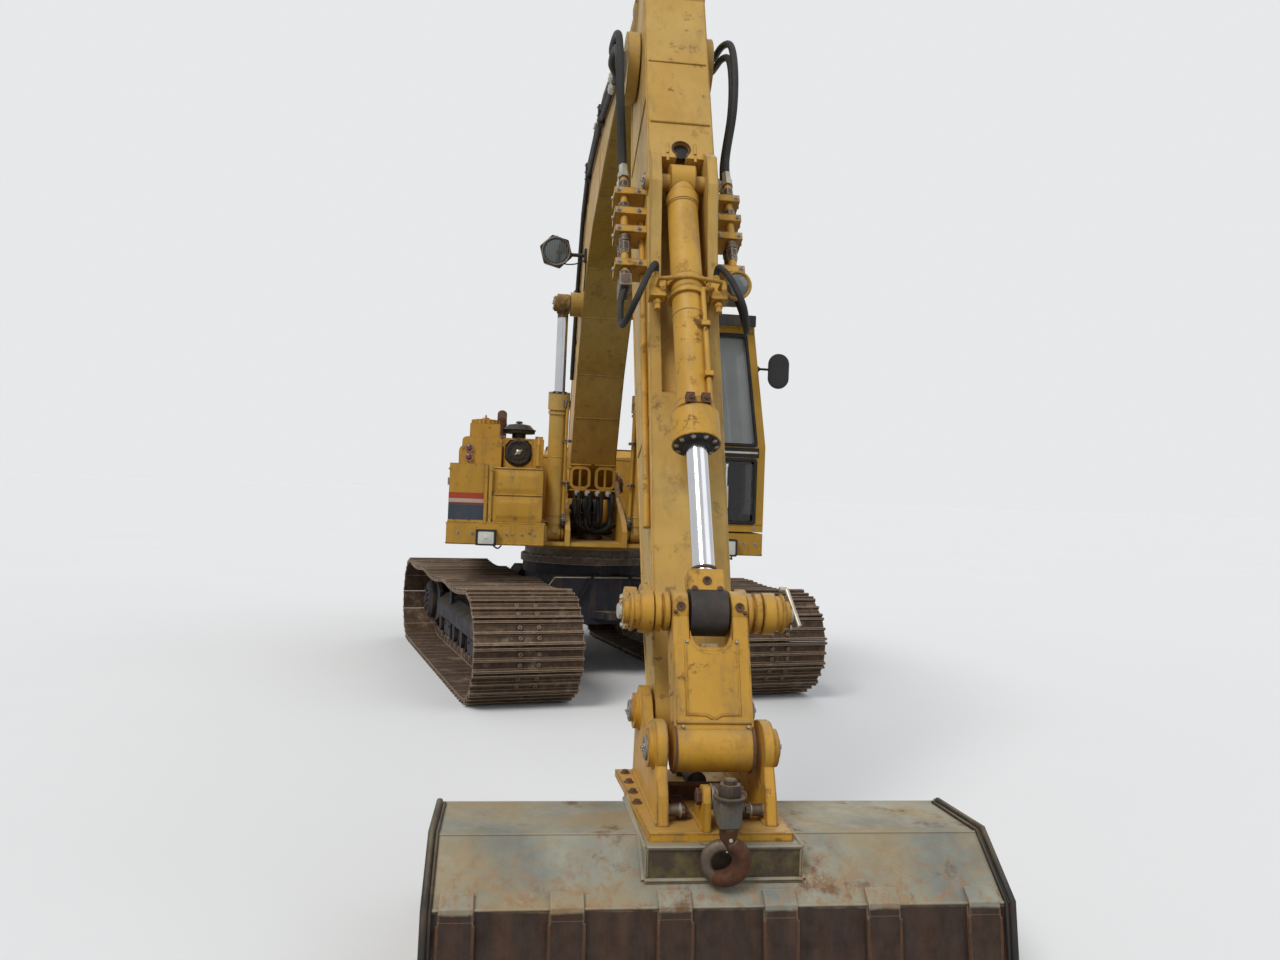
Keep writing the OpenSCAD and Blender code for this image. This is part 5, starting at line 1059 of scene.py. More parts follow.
# smooth hoses round the joint between boom and stick, each point with its distance to the side
ROUND = [Vector((x, 0, z)) for x, z in (
    (3.5, 3.88), (3.7, 3.855), (3.95, 3.81), (4.2, 3.775), (4.4, 3.69), (4.51, 3.53), (4.54, 3.34))]
ROUND += [on_stick(0.66, 0.1), on_stick(0.83, 0.1)]
ROUND_Y = [0.212, 0.215, 0.262, 0.268, 0.27, 0.268, 0.262, 0.242, 0.24]
with Piece("hose_sleeves_stick", STICK, "alu") as down, Piece("hose_sleeves_boom", BOOM, "alu") as up, \
        Piece("jumper_hoses_smooth", None, "rubber", angle=80) as hoses:
    for s in (-1, 1):
        for k in (-1, 1):
            pts = []
            for i, q in enumerate(ROUND):
                t = (ROUND[min(i + 1, len(ROUND) - 1)] - ROUND[max(i - 1, 0)]).normalized()
                across = Vector((-t[2], 0, t[0])) if i else Z
                pts.append(q + across * PIPE_STEP * k + Y * s * ROUND_Y[i])
            line = smooth(pts, 8)
            hoses.tube(line, HOSE_R, 14)
            d = (line[-1] - line[-3]).normalized()
            up.lathe(line[0], line[2] - line[0], [(0.0215, 0), (0.0215, 0.075), (0.0195, 0.078)], 16)
            down.lathe(line[-1] - d * 0.085, d,
                       [(0.0195, 0), (0.0215, 0.003), (0.0215, 0.052), (0.0265, 0.053), (0.0265, 0.083)], 6)
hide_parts("jumper_hoses")
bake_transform(hoses.obj)

# lamp on the boom's right side: hexagonal shell, rim and ribbed lens
LAMP = Vector((1.456, -0.430, 3.356))
with Piece("boom_lamp_shell", BOOM, "plastic", 0.006) as p:
    p.lathe(LAMP + X * 0.02, X,
            [(0.05, -0.02), (0.085, -0.02), (0.121, 0.03), (0.128, 0.075), (0.128, 0.1)], 6)
    p.box((1.44, -0.445, 3.452), (1.51, -0.415, 3.49))
with Piece("boom_lamp_rim", BOOM, "steel", angle=80) as p:
    p.tube(around(LAMP + X * 0.121, 0.103, 40, Y, Z), 0.007, closed=True)
with Piece("boom_lamp_lens", BOOM, "lens_dark", angle=60) as p:
    p.lathe(LAMP + X * 0.1105, X, [(0.1, 0), (0.1, 0.006), (0.07, 0.013), (0.03, 0.017), (0.001, 0.018)], 40)
    for k in range(-5, 6):
        h = math.sqrt(0.094 ** 2 - (k * 0.017) ** 2)
        crown = 0.121 + 0.006 * (1 - (k / 6) ** 2)
        p.tube([LAMP + Vector((crown - 0.008 * (z / 0.094) ** 2, k * 0.017, z))
                for z in (-h, -h * 0.5, 0, h * 0.5, h)], 0.0028, 6)
with Piece("boom_lamp_lead", BOOM, "rubber", angle=80) as p:
    p.tube(smooth([(1.475, -0.42, 3.33), (1.46, -0.36, 3.29), (1.44, -0.27, 3.30), (1.43, -0.205, 3.33),
                   (1.40, -0.194, 3.28), (1.30, -0.194, 3.12)]), 0.005)

# greasing lines on the boom's left side, from a distributor to the pins
with Piece("grease_block", BOOM, "steel", 0.002) as p:
    p.box((0.985, BOOM_SIDE, 3.20), (1.115, BOOM_SIDE + 0.03, 3.26))
    for k in range(4):
        p.lathe((1.005 + k * 0.03, BOOM_SIDE + 0.03, 3.23), Y,
                [(0.008, 0), (0.008, 0.01), (0.004, 0.014), (0.006, 0.018)], 8)
with Piece("grease_lines", BOOM, "steel", angle=80) as p:
    for line in ([(1.0, 3.20), (0.9, 2.95), (0.55, 2.40), (0.30, 2.0), (0.18, 1.76)],
                 [(1.10, 3.26), (1.30, 3.50), (1.42, 3.90), (1.45, 4.20)],
                 [(1.115, 3.23), (1.7, 3.50), (2.9, 3.80), (3.6, 3.83), (3.98, 3.76)]):
        # the end over 4.15 m dips into the cylinder's bracket
        p.tube(smooth([(x, BOOM_SIDE + (0.006 if z < 4.15 else -0.02), z) for x, z in line], 5), 0.005)

# Hoses at the boom's foot: guard bars, bulkhead nuts, swivel block, valve and pin plates

with Piece("guard_bars", BOOM, "yellow_rusty", angle=60) as p:
    for s in (-1, 1):
        p.tube([(0.413, s * 0.109, 1.583), (0.413, s * 0.109, 1.767)], 0.012, 12)
        p.tube([(0.413, s * 0.192, 1.755), (0.39, s * 0.188, 1.84), (0.44, s * 0.186, 1.93)], 0.012, 12)
PORTS = (-0.135, -0.045, 0.045, 0.135)
with Piece("bulkhead_nuts", BOOM, "alu", 0.001) as p:
    for y in PORTS:
        p.lathe((0.351, y, 1.541), X, [(0.022, 0), (0.022, 0.02)], 6)
        p.lathe((0.466, y, 1.541), X,
                [(0.028, -0.03), (0.028, 0.0), (0.02, 0.002), (0.02, 0.03), (0.0235, 0.031),
                 (0.0235, 0.055)], 6)
MANIFOLD = Vector((0.3, 0, 1.198))
SPOKES = around((0, 0, 0), 1, 8, X, Y, 0.2)
with Piece("hose_manifold", mat="steel", bevel=0.002) as p:
    p.lathe(MANIFOLD - Z * 0.07, Z,
            [(0.11, 0), (0.11, 0.05), (0.085, 0.06), (0.085, 0.115), (0.05, 0.125)], 24)
    for spoke in SPOKES:
        p.lathe(MANIFOLD + spoke * 0.085, spoke, [(0.02, 0), (0.02, 0.02), (0.016, 0.022), (0.016, 0.05)], 6)
with Piece("boom_supply_hoses", None, "rubber", angle=80) as p:
    for i, y in enumerate(PORTS):
        for k in (0, 1):
            spoke, odd = SPOKES[2 * i + k], (i + k) % 2
            end = MANIFOLD + spoke * 0.13
            start = (0.50 if k else 0.372, y + (0.012 if k else -0.012), 1.541)
            out = (0.585 + 0.03 * odd, y * 1.05 + 0.02, 1.47) if k else (0.47, y * 1.1, 1.475)
            low = (0.56 - 0.05 * k, y * 0.9, 1.28 - 0.035 * odd)
            p.tube(smooth([start, out, low, end + spoke * 0.06 + Z * 0.01, end], 7), 0.0165, 12)
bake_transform(p.obj)
with Piece("control_valve", mat="steel", bevel=0.004) as p:
    for y in (k * 0.046 for k in range(6)):
        p.box((-0.56, y - 0.135, 1.20), (-0.26, y - 0.095, 1.36))
        p.box((-0.60, y - 0.128, 1.235), (-0.20, y - 0.102, 1.275))
    p.box((-0.57, -0.15, 1.1305), (-0.25, 0.15, 1.20))
with Piece("valve_hoses", mat="rubber", angle=80) as p:
    for y in (k * 0.046 - 0.115 for k in range(6)):
        p.tube(smooth([(-0.40, y, 1.355), (-0.38, y, 1.44), (-0.30, y * 0.9, 1.50), (-0.16, y * 1.1, 1.42),
                       (-0.04, y, 1.30), (0.10, y * 0.8, 1.2), (0.20, y * 0.5, 1.19)], 5), 0.014, 10)
        p.tube(smooth([(-0.48, y, 1.355), (-0.50, y, 1.42), (-0.60, y * 1.1, 1.40), (-0.66, y, 1.25)], 5),
               0.012, 10)
with Piece("boom_foot_caps", mat="steel", angle=40) as p:
    for s in (-1, 1):
        pin_cap(p, BOOM_FOOT, s, 0.298, 0.07, 4)
        p.bolts([(x, s * 0.2535, 1.42) for x in (0.33, -0.30)], Y * s)

# Cylinders


def cylinder_details(name, base, eye, r, length, body, y=0.0, flange=0.013):
    """Gland seal, its bolts and the weld beads of a cylinder's barrel."""
    d = (eye - base).normalized()
    n = d.cross(Y)
    foot = base + Y * y
    end = foot + d * length
    rim = r + flange - 0.006
    with Piece(name + "_seal", body, "rubber", angle=40) as p:
        p.lathe(end, d, [(rim, 0), (rim, 0.004), (r * 0.78, 0.006), (r * 0.74, 0.016), (r * 0.62, 0.018)], 40)
    with Piece(name + "_gland_bolts", body, "steel") as p:
        p.bolts(around(end + d * 0.003, r + flange * 0.35, 10, Y, n), d, 0.0085)
    with Piece(name + "_welds", body, "yellow_high", angle=80) as p:
        for at, extra in ((length - 0.1315, 0.0), (0.145, 0.0), (length * 0.55, -0.002)):
            p.tube(around(foot + d * at, r + extra, 36, Y, n), 0.005, 6, closed=True)
    return d, n, end


for s, side in SIDES:
    body = "boom_barrel_body"
    d, n, end = cylinder_details(f"boom_cylinder_{side}", CYL_FOOT, BOOM_EYE, 0.075, 1.13, body, s * CYL_Y)
    head, out = end - d * 0.075, (-n * 0.75 - Y * s * 0.66).normalized()
    a, b = head + out * 0.10, CYL_FOOT + Y * s * CYL_Y + d * 0.20 + out * 0.10
    with Piece(f"boom_cylinder_pipe_{side}", body, "yellow_rusty", angle=60) as p:
        p.tube([head + out * 0.07, a + d * 0.01, a - d * 0.03] + [a + (b - a) * t for t in (0.1, 0.5, 0.9, 1)]
               + [b - d * 0.04], 0.013, 12)
    with Piece(f"boom_cylinder_ports_{side}", body, "steel", 0.002) as p:
        p.box((-0.028, -0.028, -0.022), (0.028, 0.028, 0.03), turned_to(head + out * 0.078, out))
        away = (-out).to_track_quat("Y", "Z").to_matrix().to_4x4()
        for t in (0.35, 0.75):
            p.box((-0.02, -0.045, -0.012), (0.02, 0.02, 0.012), Matrix.Translation(a + (b - a) * t) @ away)
        p.lathe(b - d * 0.045, -d, [(0.02, 0), (0.02, 0.03), (0.024, 0.03), (0.024, 0.05)], 6)
    start = b - d * 0.09
    with Piece(f"boom_cylinder_hose_{side}", None, "rubber", angle=80) as p:
        p.tube(smooth([start, start - d * 0.05, (0.70, s * 0.30, 1.335), (0.56, s * 0.27, 1.31),
                       (0.42, s * 0.18, 1.25), (0.395, s * 0.07, 1.23)], 7), 0.015, 12)
    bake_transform(p.obj)

d, n, end = cylinder_details("stick_cylinder", STICK_CYL, CRANK, 0.08, 1.96, "stick_barrel_body")
PORT = STICK_CYL + d * 0.34 - n * 0.1
with Piece("stick_cylinder_pipes", "stick_barrel_body", "yellow_rusty", angle=60) as p:
    for a, s in ((STICK_CYL + d * 0.62 - n * 0.1, -1), (end - d * 0.075 - n * 0.1, 1)):
        a, b = a + Y * s * 0.04, PORT + Y * s * 0.04
        p.tube([a + n * 0.03, a, a + (b - a) * 0.05, a + (b - a) * 0.5, b], 0.013, 12)
with Piece("stick_cylinder_hoses", None, "rubber", angle=80) as p:
    for s in (-1, 1):
        b = PORT + Y * s * 0.04
        p.tube(smooth([b, b - d * 0.07 + Y * s * 0.01, (1.66, s * 0.10, 4.29), (1.60, s * 0.16, 4.21),
                       (1.62, s * 0.2, 4.06)], 7), 0.015, 12)
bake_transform(p.obj)
with Piece("crank_pin_caps", STICK, "steel", angle=40) as p:
    for s in (-1, 1):
        pin_cap(p, CRANK, s, STICK_SIDE + 0.0175, 0.05)

# Stick: weld beads, keyhole, tube fittings

STICK_LOW = [(-0.72, 0.47), (-0.42, 0.11), (-0.17, -0.12), (0.12, -0.25), (0.70, -0.33), (1.70, -0.29),
             (2.76, -0.185), (3.12, -0.108)]
STICK_HIGH = [(-0.56, 0.53), (-0.17, 0.285), (0.93, 0.285)]
RECESS = [(1.01, 0.236), (1.5, 0.176), (2.3, 0.136), (2.8, 0.106), (3.05, 0.076)]
FACE = 0.2862
with Piece("stick_welds", STICK, "yellow_high", angle=80) as p:
    for s in (-1, 1):
        y = s * (STICK_SIDE + 0.001)
        for line in (shift_in(STICK_LOW, 0.014), shift_in(STICK_HIGH, -0.014), RECESS):
            p.tube([on_stick(u, v, y) for u, v in line], 0.006)
        for u, lo, hi in ((0.45, -0.29, 0.26), (2.05, -0.25, 0.14)):
            p.tube([on_stick(u, lo, y), on_stick(u, hi, y)], 0.005)
        p.tube(around(ROCKER_FOOT + Y * y, 0.102, 28, ALONG, FRONT), 0.006, closed=True)
        # dashes of weld beside the keyhole
        for a, b in ((0.745, 0.80), (0.815, 0.845)):
            p.tube([on_stick(u, FACE, s * 0.062) for u in (a, b)], 0.007)
    for u, r in ((0.62, 0.007), (0.25, 0.005)):
        p.tube([on_stick(u, FACE, y) for y in (-0.135, 0.135)], r)
with Piece("keyhole_rim", STICK, "rusty", angle=80) as p:
    angles = [math.radians(-142 + 284 * k / 20) for k in range(21)]
    p.tube([on_stick(0.77 - 0.04 * math.cos(a), 0.286, 0.04 * math.sin(a)) for a in angles], 0.004)
    for y in (0.0235, -0.0235):
        p.tube([on_stick(u, 0.286, y) for u in (0.80, 0.815)], 0.004, 6)
# a black disc set below the keyhole's rim is painted shade inside the hole
with Piece("keyhole_shade", STICK, "black", angle=40) as p:
    p.lathe(on_stick(0.77, 0.262), FRONT, [(0.0385, 0), (0.0385, 0.003), (0.001, 0.003)])
TUBE_Y, TUBE_V = 0.24, 0.1
with Piece("stick_tube_elbows", STICK, "steel", 0.003) as dark, \
        Piece("stick_clamp_bolts", STICK, "steel") as bolts, Piece("stick_tube_nuts", STICK, "steel") as nuts:
    for s in (-1, 1):
        for v in (TUBE_V - PIPE_STEP, TUBE_V + PIPE_STEP):
            for u, w in ((0.852, 0.034), (0.975, 0.024), (1.19, 0.042), (1.345, 0.03)):
                nuts.lathe(on_stick(u, v, s * TUBE_Y), ALONG,
                           [(0.0255, 0), (0.0255, w), (0.022, w + 0.002), (0.022, w + 0.016)], 6)
            dark.lathe(on_stick(1.15, v, s * TUBE_Y), ALONG,
                       [(0.021, 0), (0.027, 0.004), (0.027, 0.034), (0.021, 0.038)], 16)
            # small elbow at the tube's lower end
            dark.box((-0.03, -0.026, -0.03), (0.03, 0.026, 0.03),
                     Matrix.Translation(on_stick(1.398, v, s * TUBE_Y)) @ Matrix.Rotation(-LEAN, 4, "Y"))
        for u in (0.918, 1.028, 1.128, 1.308):
            bolts.bolts([on_stick(u, 0.1603, s * y) for y in (0.178, 0.268)], FRONT, 0.009)
            bolts.bolt(on_stick(u, TUBE_V, s * 0.2853), Y * s, 0.009)

# Bucket cylinder: clamp band with valve blocks, pipe along the barrel, hoses from the stick

BARREL = "bucket_barrel_body"
d, n, end = cylinder_details("bucket_cylinder", BUCKET_CYL, LINK_TOP, 0.066, 1.33, BARREL, flange=0.028)
BAND, out = BUCKET_CYL + d * 0.60, -n if n.dot(FRONT) < 0 else n
with Piece("cylinder_band", BARREL, "yellow_rusty", 0.002) as p:
    for k in (-1, 1):
        p.lathe(BAND + d * (k * 0.034 - 0.014), d,
                [(0.0665, 0), (0.079, 0), (0.079, 0.028), (0.0665, 0.028)], 40)
with Piece("band_valves", BARREL, "yellow_rusty", 0.004) as p:
    for s in (-1, 1):
        for k in (-0.034, 0.034):
            p.cyl(BAND + d * k + Y * s * 0.07, BAND + d * k + Y * s * 0.108, 0.013, 12)
        c = BAND + Y * s * 0.128
        p.box((-0.035, -0.022, -0.05), (0.035, 0.03, 0.05), turned_to(c, d))
        for way, end_h in ((d, 0.05), (-d, 0.045)):
            p.lathe(c + way * 0.05, way, [(0.018, 0), (0.018, 0.022), (0.014, 0.024), (0.014, end_h)], 6)
with Piece("band_cross_tube", BARREL, "yellow_rusty", angle=80) as p:
    p.tube([BAND + Y * y + out * h for y, h in (
        (0.13, 0.03), (0.13, 0.075), (0, 0.1), (-0.13, 0.075), (-0.13, 0.03))], 0.009, 10)
with Piece("bucket_cylinder_pipe", BARREL, "yellow_rusty", angle=60) as p:
    a, b = (c + Y * 0.052 + out * 0.062 for c in (BAND + d * 0.03, end - d * 0.10))
    p.tube([BAND + Y * 0.10 + out * 0.03, a, a + (b - a) * 0.1, a + (b - a) * 0.5, b,
            b + d * 0.03 - out * 0.02], 0.0105, 12)
    for t in (0.3, 0.7):
        p.box((-0.018, -0.018, -0.012), (0.018, 0.018, 0.012), turned_to(a + (b - a) * t, d))
# yellow ring above the gland, with rusty clamp bolts on its front
c = end - d * 0.155
with Piece("gland_ring", BARREL, "yellow_rusty", 0.002) as p:
    p.lathe(c - d * 0.02, d, [(0.067, 0), (0.078, 0), (0.078, 0.03), (0.067, 0.03)], 40)
with Piece("gland_clamp", BARREL, "rusty", 0.002) as p:
    for s in (-1, 1):
        at = c + Y * s * 0.03
        p.box((-0.017, -0.02, -0.022), (0.017, 0.014, 0.022), turned_to(at + out * 0.083, d))
        p.bolt(at + out * 0.097 + d * 0.002, out, 0.011)
for s, side in SIDES:
    a, b = on_stick(1.43, TUBE_V + PIPE_STEP, s * TUBE_Y), BAND - d * 0.095 + Y * s * 0.128
    bend = ((1.52, 0.14, 0.262), (1.66, 0.2, 0.262), (1.62, 0.33, 0.22), (1.50, 0.345, 0.17),
            (1.42, 0.305, 0.135))
    with Piece(f"bucket_cylinder_hose_{side}", None, "rubber", angle=80) as p:
        p.tube(smooth([a, *[on_stick(u, v, s * y) for u, v, y in bend], b], 8), 0.0135, 12)
    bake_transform(p.obj)
with Piece("cylinder_base_caps", STICK, "steel", angle=40) as p:
    for s in (-1, 1):
        pin_cap(p, BUCKET_CYL, s, STICK_SIDE + 0.0155, 0.036, 2)

# cone lamp on the stick's left side
LAMP = on_stick(1.43, 0.165) + Vector((0.01, 0.217, 0))
with Piece("stick_lamp_rim", STICK, "yellow_rusty", 0.001) as p:
    p.lathe(LAMP + X * 0.1003, X, [(0.062, -0.01), (0.062, 0.006), (0.054, 0.008), (0.05, 0.003)])
with Piece("stick_lamp_lens", STICK, "lens_dark", angle=60) as p:
    p.lathe(LAMP + X * 0.1005, X, [(0.05, 0), (0.046, 0.006), (0.02, 0.012), (0.001, 0.013)], 28)
with Piece("stick_lamp_lead", STICK, "rubber", angle=80) as p:
    p.tube(smooth([LAMP, LAMP - X * 0.05 + Z * 0.03, on_stick(1.34, 0.06, 0.17), on_stick(1.2, 0.02, 0.152),
                   on_stick(0.8, 0.0, 0.151)]), 0.005)

# Power link: raised panel, slot, weld beads, bosses and grease nipples

link_d = (LINK_LOW - LINK_TOP).normalized()
link_n = Vector((-link_d[2], 0, link_d[0]))
if link_n[0] < 0:
    link_n = -link_n
LINK_LEN = (LINK_LOW - LINK_TOP).length
upright = Matrix((link_n, Y, link_n.cross(Y))).transposed().to_4x4()


def on_link(t, y, out):
    """A point on the link: t down from its top pin, y across, out from its middle towards the front."""
    return LINK_TOP + link_d * t + Y * y + link_n * out


def on_face(t, y, out):
    """The same from the link's front face, which tapers towards its lower pin."""
    return on_link(t, y, 0.066 - 0.006 * (t - 0.13) / (LINK_LEN - 0.15) + out)


def slot_round(radius, half_angle, steps=14):
    """The round bottom of the slot at the link's top."""
    angles = [math.radians(half_angle * (1 - 2 * k / steps)) for k in range(steps + 1)]
    return [(0.08 + radius * math.cos(a), radius * math.sin(a)) for a in angles]


with Piece("link_panel", LINK, "yellow_rusty", 0.0015) as p:
    low = [(0.11, -0.087), (0.360, -0.087), (0.360, -0.026), (0.374, 0.0), (0.360, 0.026), (0.360, 0.087)]
    p.prism([on_face(*q, 0.0004) for q in [(0.11, 0.087)] + slot_round(0.0795, 68) + low], link_n, 0.0045)
with Piece("link_slot_corners", LINK, "yellow_rusty", angle=40) as p:
    for s in (-1, 1):
        corner = [(0.082, 0.0712), (0.1505, 0.0712), (0.1505, 0.0)] + slot_round(0.0702, 88)[7::-1]
        p.prism([on_face(t, s * y, -0.030) for t, y in corner], link_n, 0.0302)
# a black plate on the slot's floor is painted shade inside the slot
with Piece("link_slot_shade", LINK, "black", 0.0005) as p:
    p.box((-0.058, -0.0705, -0.0015), (0.034, 0.0705, 0.0015),
          Matrix.Translation(on_link(0.1475, 0, 0)) @ upright)
with Piece("link_slot_block", LINK, "bucket", 0.003) as p:
    p.box((-0.02, -0.03, -0.014), (0.036, 0.03, 0.014), Matrix.Translation(on_link(0.131, 0, 0)) @ upright)
with Piece("link_welds", LINK, "yellow", angle=80) as p:
    edge = [(0.11, 0.089), (0.25, 0.089), (0.362, 0.089), (0.362, 0.027)]
    edge += [(0.377, 0.0)] + [(t, -y) for t, y in reversed(edge)]
    p.tube([on_face(*q, 0.0005) for q in edge], 0.0048)
    p.tube([on_face(0.385, y, 0.001) for y in (-0.124, 0.0, 0.124)], 0.0075)
    for s in (-1, 1):
        for y, out in ((0.1275, 0.058), (0.12, -0.044)):
            p.tube([on_link(t, s * y, out) for t in (0.12, 0.25, 0.40)], 0.006)
with Piece("link_bosses", LINK, "rusty", angle=50) as p:
    for s in (-1, 1):
        p.tube(around(LINK_LOW + Y * s * 0.128, 0.0785, 36), 0.005, 6, closed=True)
        # boss of each ear with its dark bore towards the front, and its nipple
        p.lathe(on_link(0, s * 0.102, 0.075), link_n,
                [(0.016, 0), (0.016, 0.006), (0.011, 0.006), (0.011, 0.002)], 16)
        p.lathe(on_link(0.02, s * 0.12, 0.0735), link_n, [(0.007, 0), (0.007, 0.008), (0.004, 0.012)], 8)
with Piece("link_grease_nipples", LINK, "steel") as p:
    for t, y in ((0.12, 0.085), (0.12, -0.085), (0.40, 0.112), (0.40, -0.105)):
        p.lathe(on_face(t, y, 0.0005), link_n,
                [(0.006, 0), (0.006, 0.006), (0.003, 0.01), (0.0045, 0.013)], 8)

# Rod's end: clevis block, held by a bolt through it

d = (LINK_TOP - BUCKET_CYL).normalized()
out = Vector((-d[2], 0, d[0]))
if out[0] < 0:
    out = -out
with Piece("clevis_block", "bucket_rod_body", "yellow_rusty", 0.006) as p:
    p.box((-0.046, -0.0635, -0.035), (0.0475, 0.0635, 0.055),
          Matrix.Translation(LINK_TOP - d * 0.092) @ Matrix((out, Y, out.cross(Y))).transposed().to_4x4())
with Piece("clevis_bolts", "bucket_rod_body", "rusty", angle=40) as p:
    p.lathe(LINK_TOP - d * 0.10 + out * 0.048, out,
            [(0.016, 0), (0.016, 0.004), (0.01, 0.004), (0.01, 0.0)], 20)
    p.lathe(LINK_TOP - d * 0.155, -d, [(0.047, 0), (0.047, 0.008), (0.0415, 0.01)])
    p.bolts([LINK_TOP - d * 0.07 + out * 0.048 + Y * y for y in (-0.045, 0.045)], out, 0.008)

# Rockers: worn spacers inside them, pin bosses and keepers outside, weld beads

with Piece("link_pin_spacers", LINK, "yellow_rusty", angle=40) as p:
    for s in (-1, 1):
        p.lathe(LINK_TOP + Y * s * 0.1325, Y * s,
                [(0.052, 0), (0.066, 0.003), (0.066, 0.021), (0.052, 0.024), (0.052, 0.03), (0.069, 0.033),
                 (0.069, 0.054), (0.05, 0.057)], 36)
with Piece("link_pin_bosses", ROCKER, "yellow_rusty", angle=40) as p:
    for s in (-1, 1):
        c = LINK_TOP + Y * s * 0.2625
        p.lathe(c, Y * s, [(0.055, 0), (0.055, 0.008), (0.045, 0.01), (0.045, 0.03), (0.032, 0.034),
                           (0.03, 0.024), (0.001, 0.024)])
        p.tube(around(c + Y * s * 0.002, 0.064, 36), 0.006, closed=True)
with Piece("link_pin_keepers", ROCKER, "alu", angle=40) as p:
    for s in (-1, 1):
        c = LINK_TOP + Y * s * 0.2965
        p.lathe(c, Y * s, [(0.027, 0), (0.027, 0.012), (0.02, 0.016), (0.001, 0.016)], 24)
        p.bolts([c + Vector((k * 0.02, s * -0.003, k * -0.045)) for k in (-1, 1)], Y * s, 0.009)
    # slanting retaining bar on the left boss
    a, b = LINK_TOP + Vector((-0.03, 0.292, 0.085)), LINK_TOP + Vector((0.045, 0.322, -0.035))
    p.cyl(a, b, 0.0085, 12)
    p.cyl(a - Y * 0.025, a, 0.0085, 12)
with Piece("rocker_details", ROCKER, "yellow_rusty", angle=60) as p:
    reach = LINK_TOP - ROCKER_FOOT
    rd = reach.normalized()
    rn = Vector((-rd[2], 0, rd[0])) * 0.86
    for s in (-1, 1):
        for side in (-1, 1):
            p.tube([ROCKER_FOOT + rd * t + rn * v * side + Y * s * 0.2375 for t, v in (
                (0.10, 0.062), (0.20, 0.056), (reach.length - 0.09, 0.052))], 0.0055)
        pin_cap(p, ROCKER_FOOT, s, 0.2455, 0.033, 2)

# Quick coupler: weld beads, pin caps, locking cylinder with its rod, crossbar and bars

PLATE_TOP, LOCK_Z = 0.512, 0.547
ABOVE = PLATE_TOP + 0.0005
with Piece("coupler_welds", BUCKET, angle=80) as p:
    for s in (-1, 1):
        for xs, ys, r in (((5.35, 5.6, 5.975), (0.158, 0.194), 0.0065),
                          ((5.86, 6.03), (0.034, 0.058), 0.006)):
            for y in ys:
                p.tube([(x, s * y, PLATE_TOP + 0.003) for x in xs], r)
        p.tube([(6.045, s * 0.06, ABOVE), (6.047, s * 0.2, ABOVE)], 0.004)
        # fillets round the ears' bosses
        for c, r in ((TIP, 0.066), (LINK_LOW, 0.064)):
            p.tube(around(c + Y * s * 0.1945, r, 32), 0.0055, closed=True)
with Piece("coupler_pin_caps", BUCKET, "steel", angle=40) as p:
    for s in (-1, 1):
        pin_cap(p, TIP, s, 0.2245, 0.04, 2)
        pin_cap(p, LINK_LOW, s, 0.2165, 0.04, 2)
        # locking pin stubs near the plate
        p.cyl((5.93, s * 0.115, 0.548), (5.93, s * 0.157, 0.548), 0.02, 20)
        p.bolt((5.93, s * 0.115, 0.548), -Y * s, 0.016)
with Piece("coupler_cylinder", BUCKET, "black", 0.002) as p:
    p.cyl((5.42, 0, LOCK_Z), (5.60, 0, LOCK_Z), 0.033, 32)
    p.cyl((5.60, 0, LOCK_Z), (5.612, 0, LOCK_Z), 0.0345, 32)
    p.box((5.36, -0.04, ABOVE), (5.43, 0.04, 0.582))
with Piece("coupler_rod", BUCKET, "chrome", angle=40) as p:
    p.cyl((5.60, 0, LOCK_Z - 0.004), (5.68, 0, LOCK_Z - 0.004), 0.014)
with Piece("coupler_wedge", BUCKET, "rusty", 0.004) as p:
    # crossbar with two flat locking bars, low enough for the link to pass over them
    p.box((5.672, -0.12, ABOVE), (5.712, 0.12, 0.566))
    for y in (-0.095, 0.095):
        p.box((5.712, y - 0.024, ABOVE), (5.915, y + 0.024, ABOVE + 0.015))
with Piece("coupler_plate_bolts", BUCKET, "rusty") as p:
    p.bolts([(x, s * 0.228, PLATE_TOP) for s in (-1, 1) for x in (5.38, 5.50, 5.62, 5.74)], Z, 0.013)

# Lifting hook: pin's bolt, nut with washer, swivel block, forged hook with a latch

HOOK = Vector((5.985, 0, 0.608))
c = HOOK + X * 0.15
with Piece("hook_pin_bolt", BUCKET, "rusty", angle=40) as p:
    p.lathe(HOOK - Y * 0.056, -Y, [(0.026, 0), (0.026, 0.018), (0.02, 0.02)], 6)
    p.lathe(HOOK + Y * 0.056, Y,
            [(0.024, 0), (0.024, 0.005), (0.017, 0.005), (0.017, 0.03), (0.01, 0.034)], 16)
    p.tube([HOOK + Vector(q) for q in ((0, 0.075, 0.03), (0, 0.075, -0.03), (0.012, 0.078, -0.045))], 0.004)
with Piece("hook_nut", BUCKET, "black", angle=40) as p:
    p.lathe(c + Z * 0.038, Z, [(0.048, 0), (0.048, 0.007), (0.046, 0.009), (0.046, 0.009)])
    p.lathe(c + Z * 0.047, Z, [(0.037, 0), (0.039, 0.004), (0.039, 0.03), (0.034, 0.036), (0.02, 0.036)], 6)
    p.lathe(c + Z * 0.083, Z, [(0.02, -0.01), (0.02, 0.012), (0.016, 0.016), (0.001, 0.017)], 20)
with Piece("hook_swivel_block", BUCKET, "grey", 0.005) as p:
    p.box(c + Vector((-0.032, -0.034, -0.045)), c + Vector((0.032, 0.034, 0.037)))
    for y in (-0.0305, 0.0225):
        p.box(c + Vector((-0.095, y, -0.035)), c + Vector((-0.03, y + 0.008, 0.028)))
centre, HOOK_STEPS = c + Vector((0, -0.018, -0.15)), 26
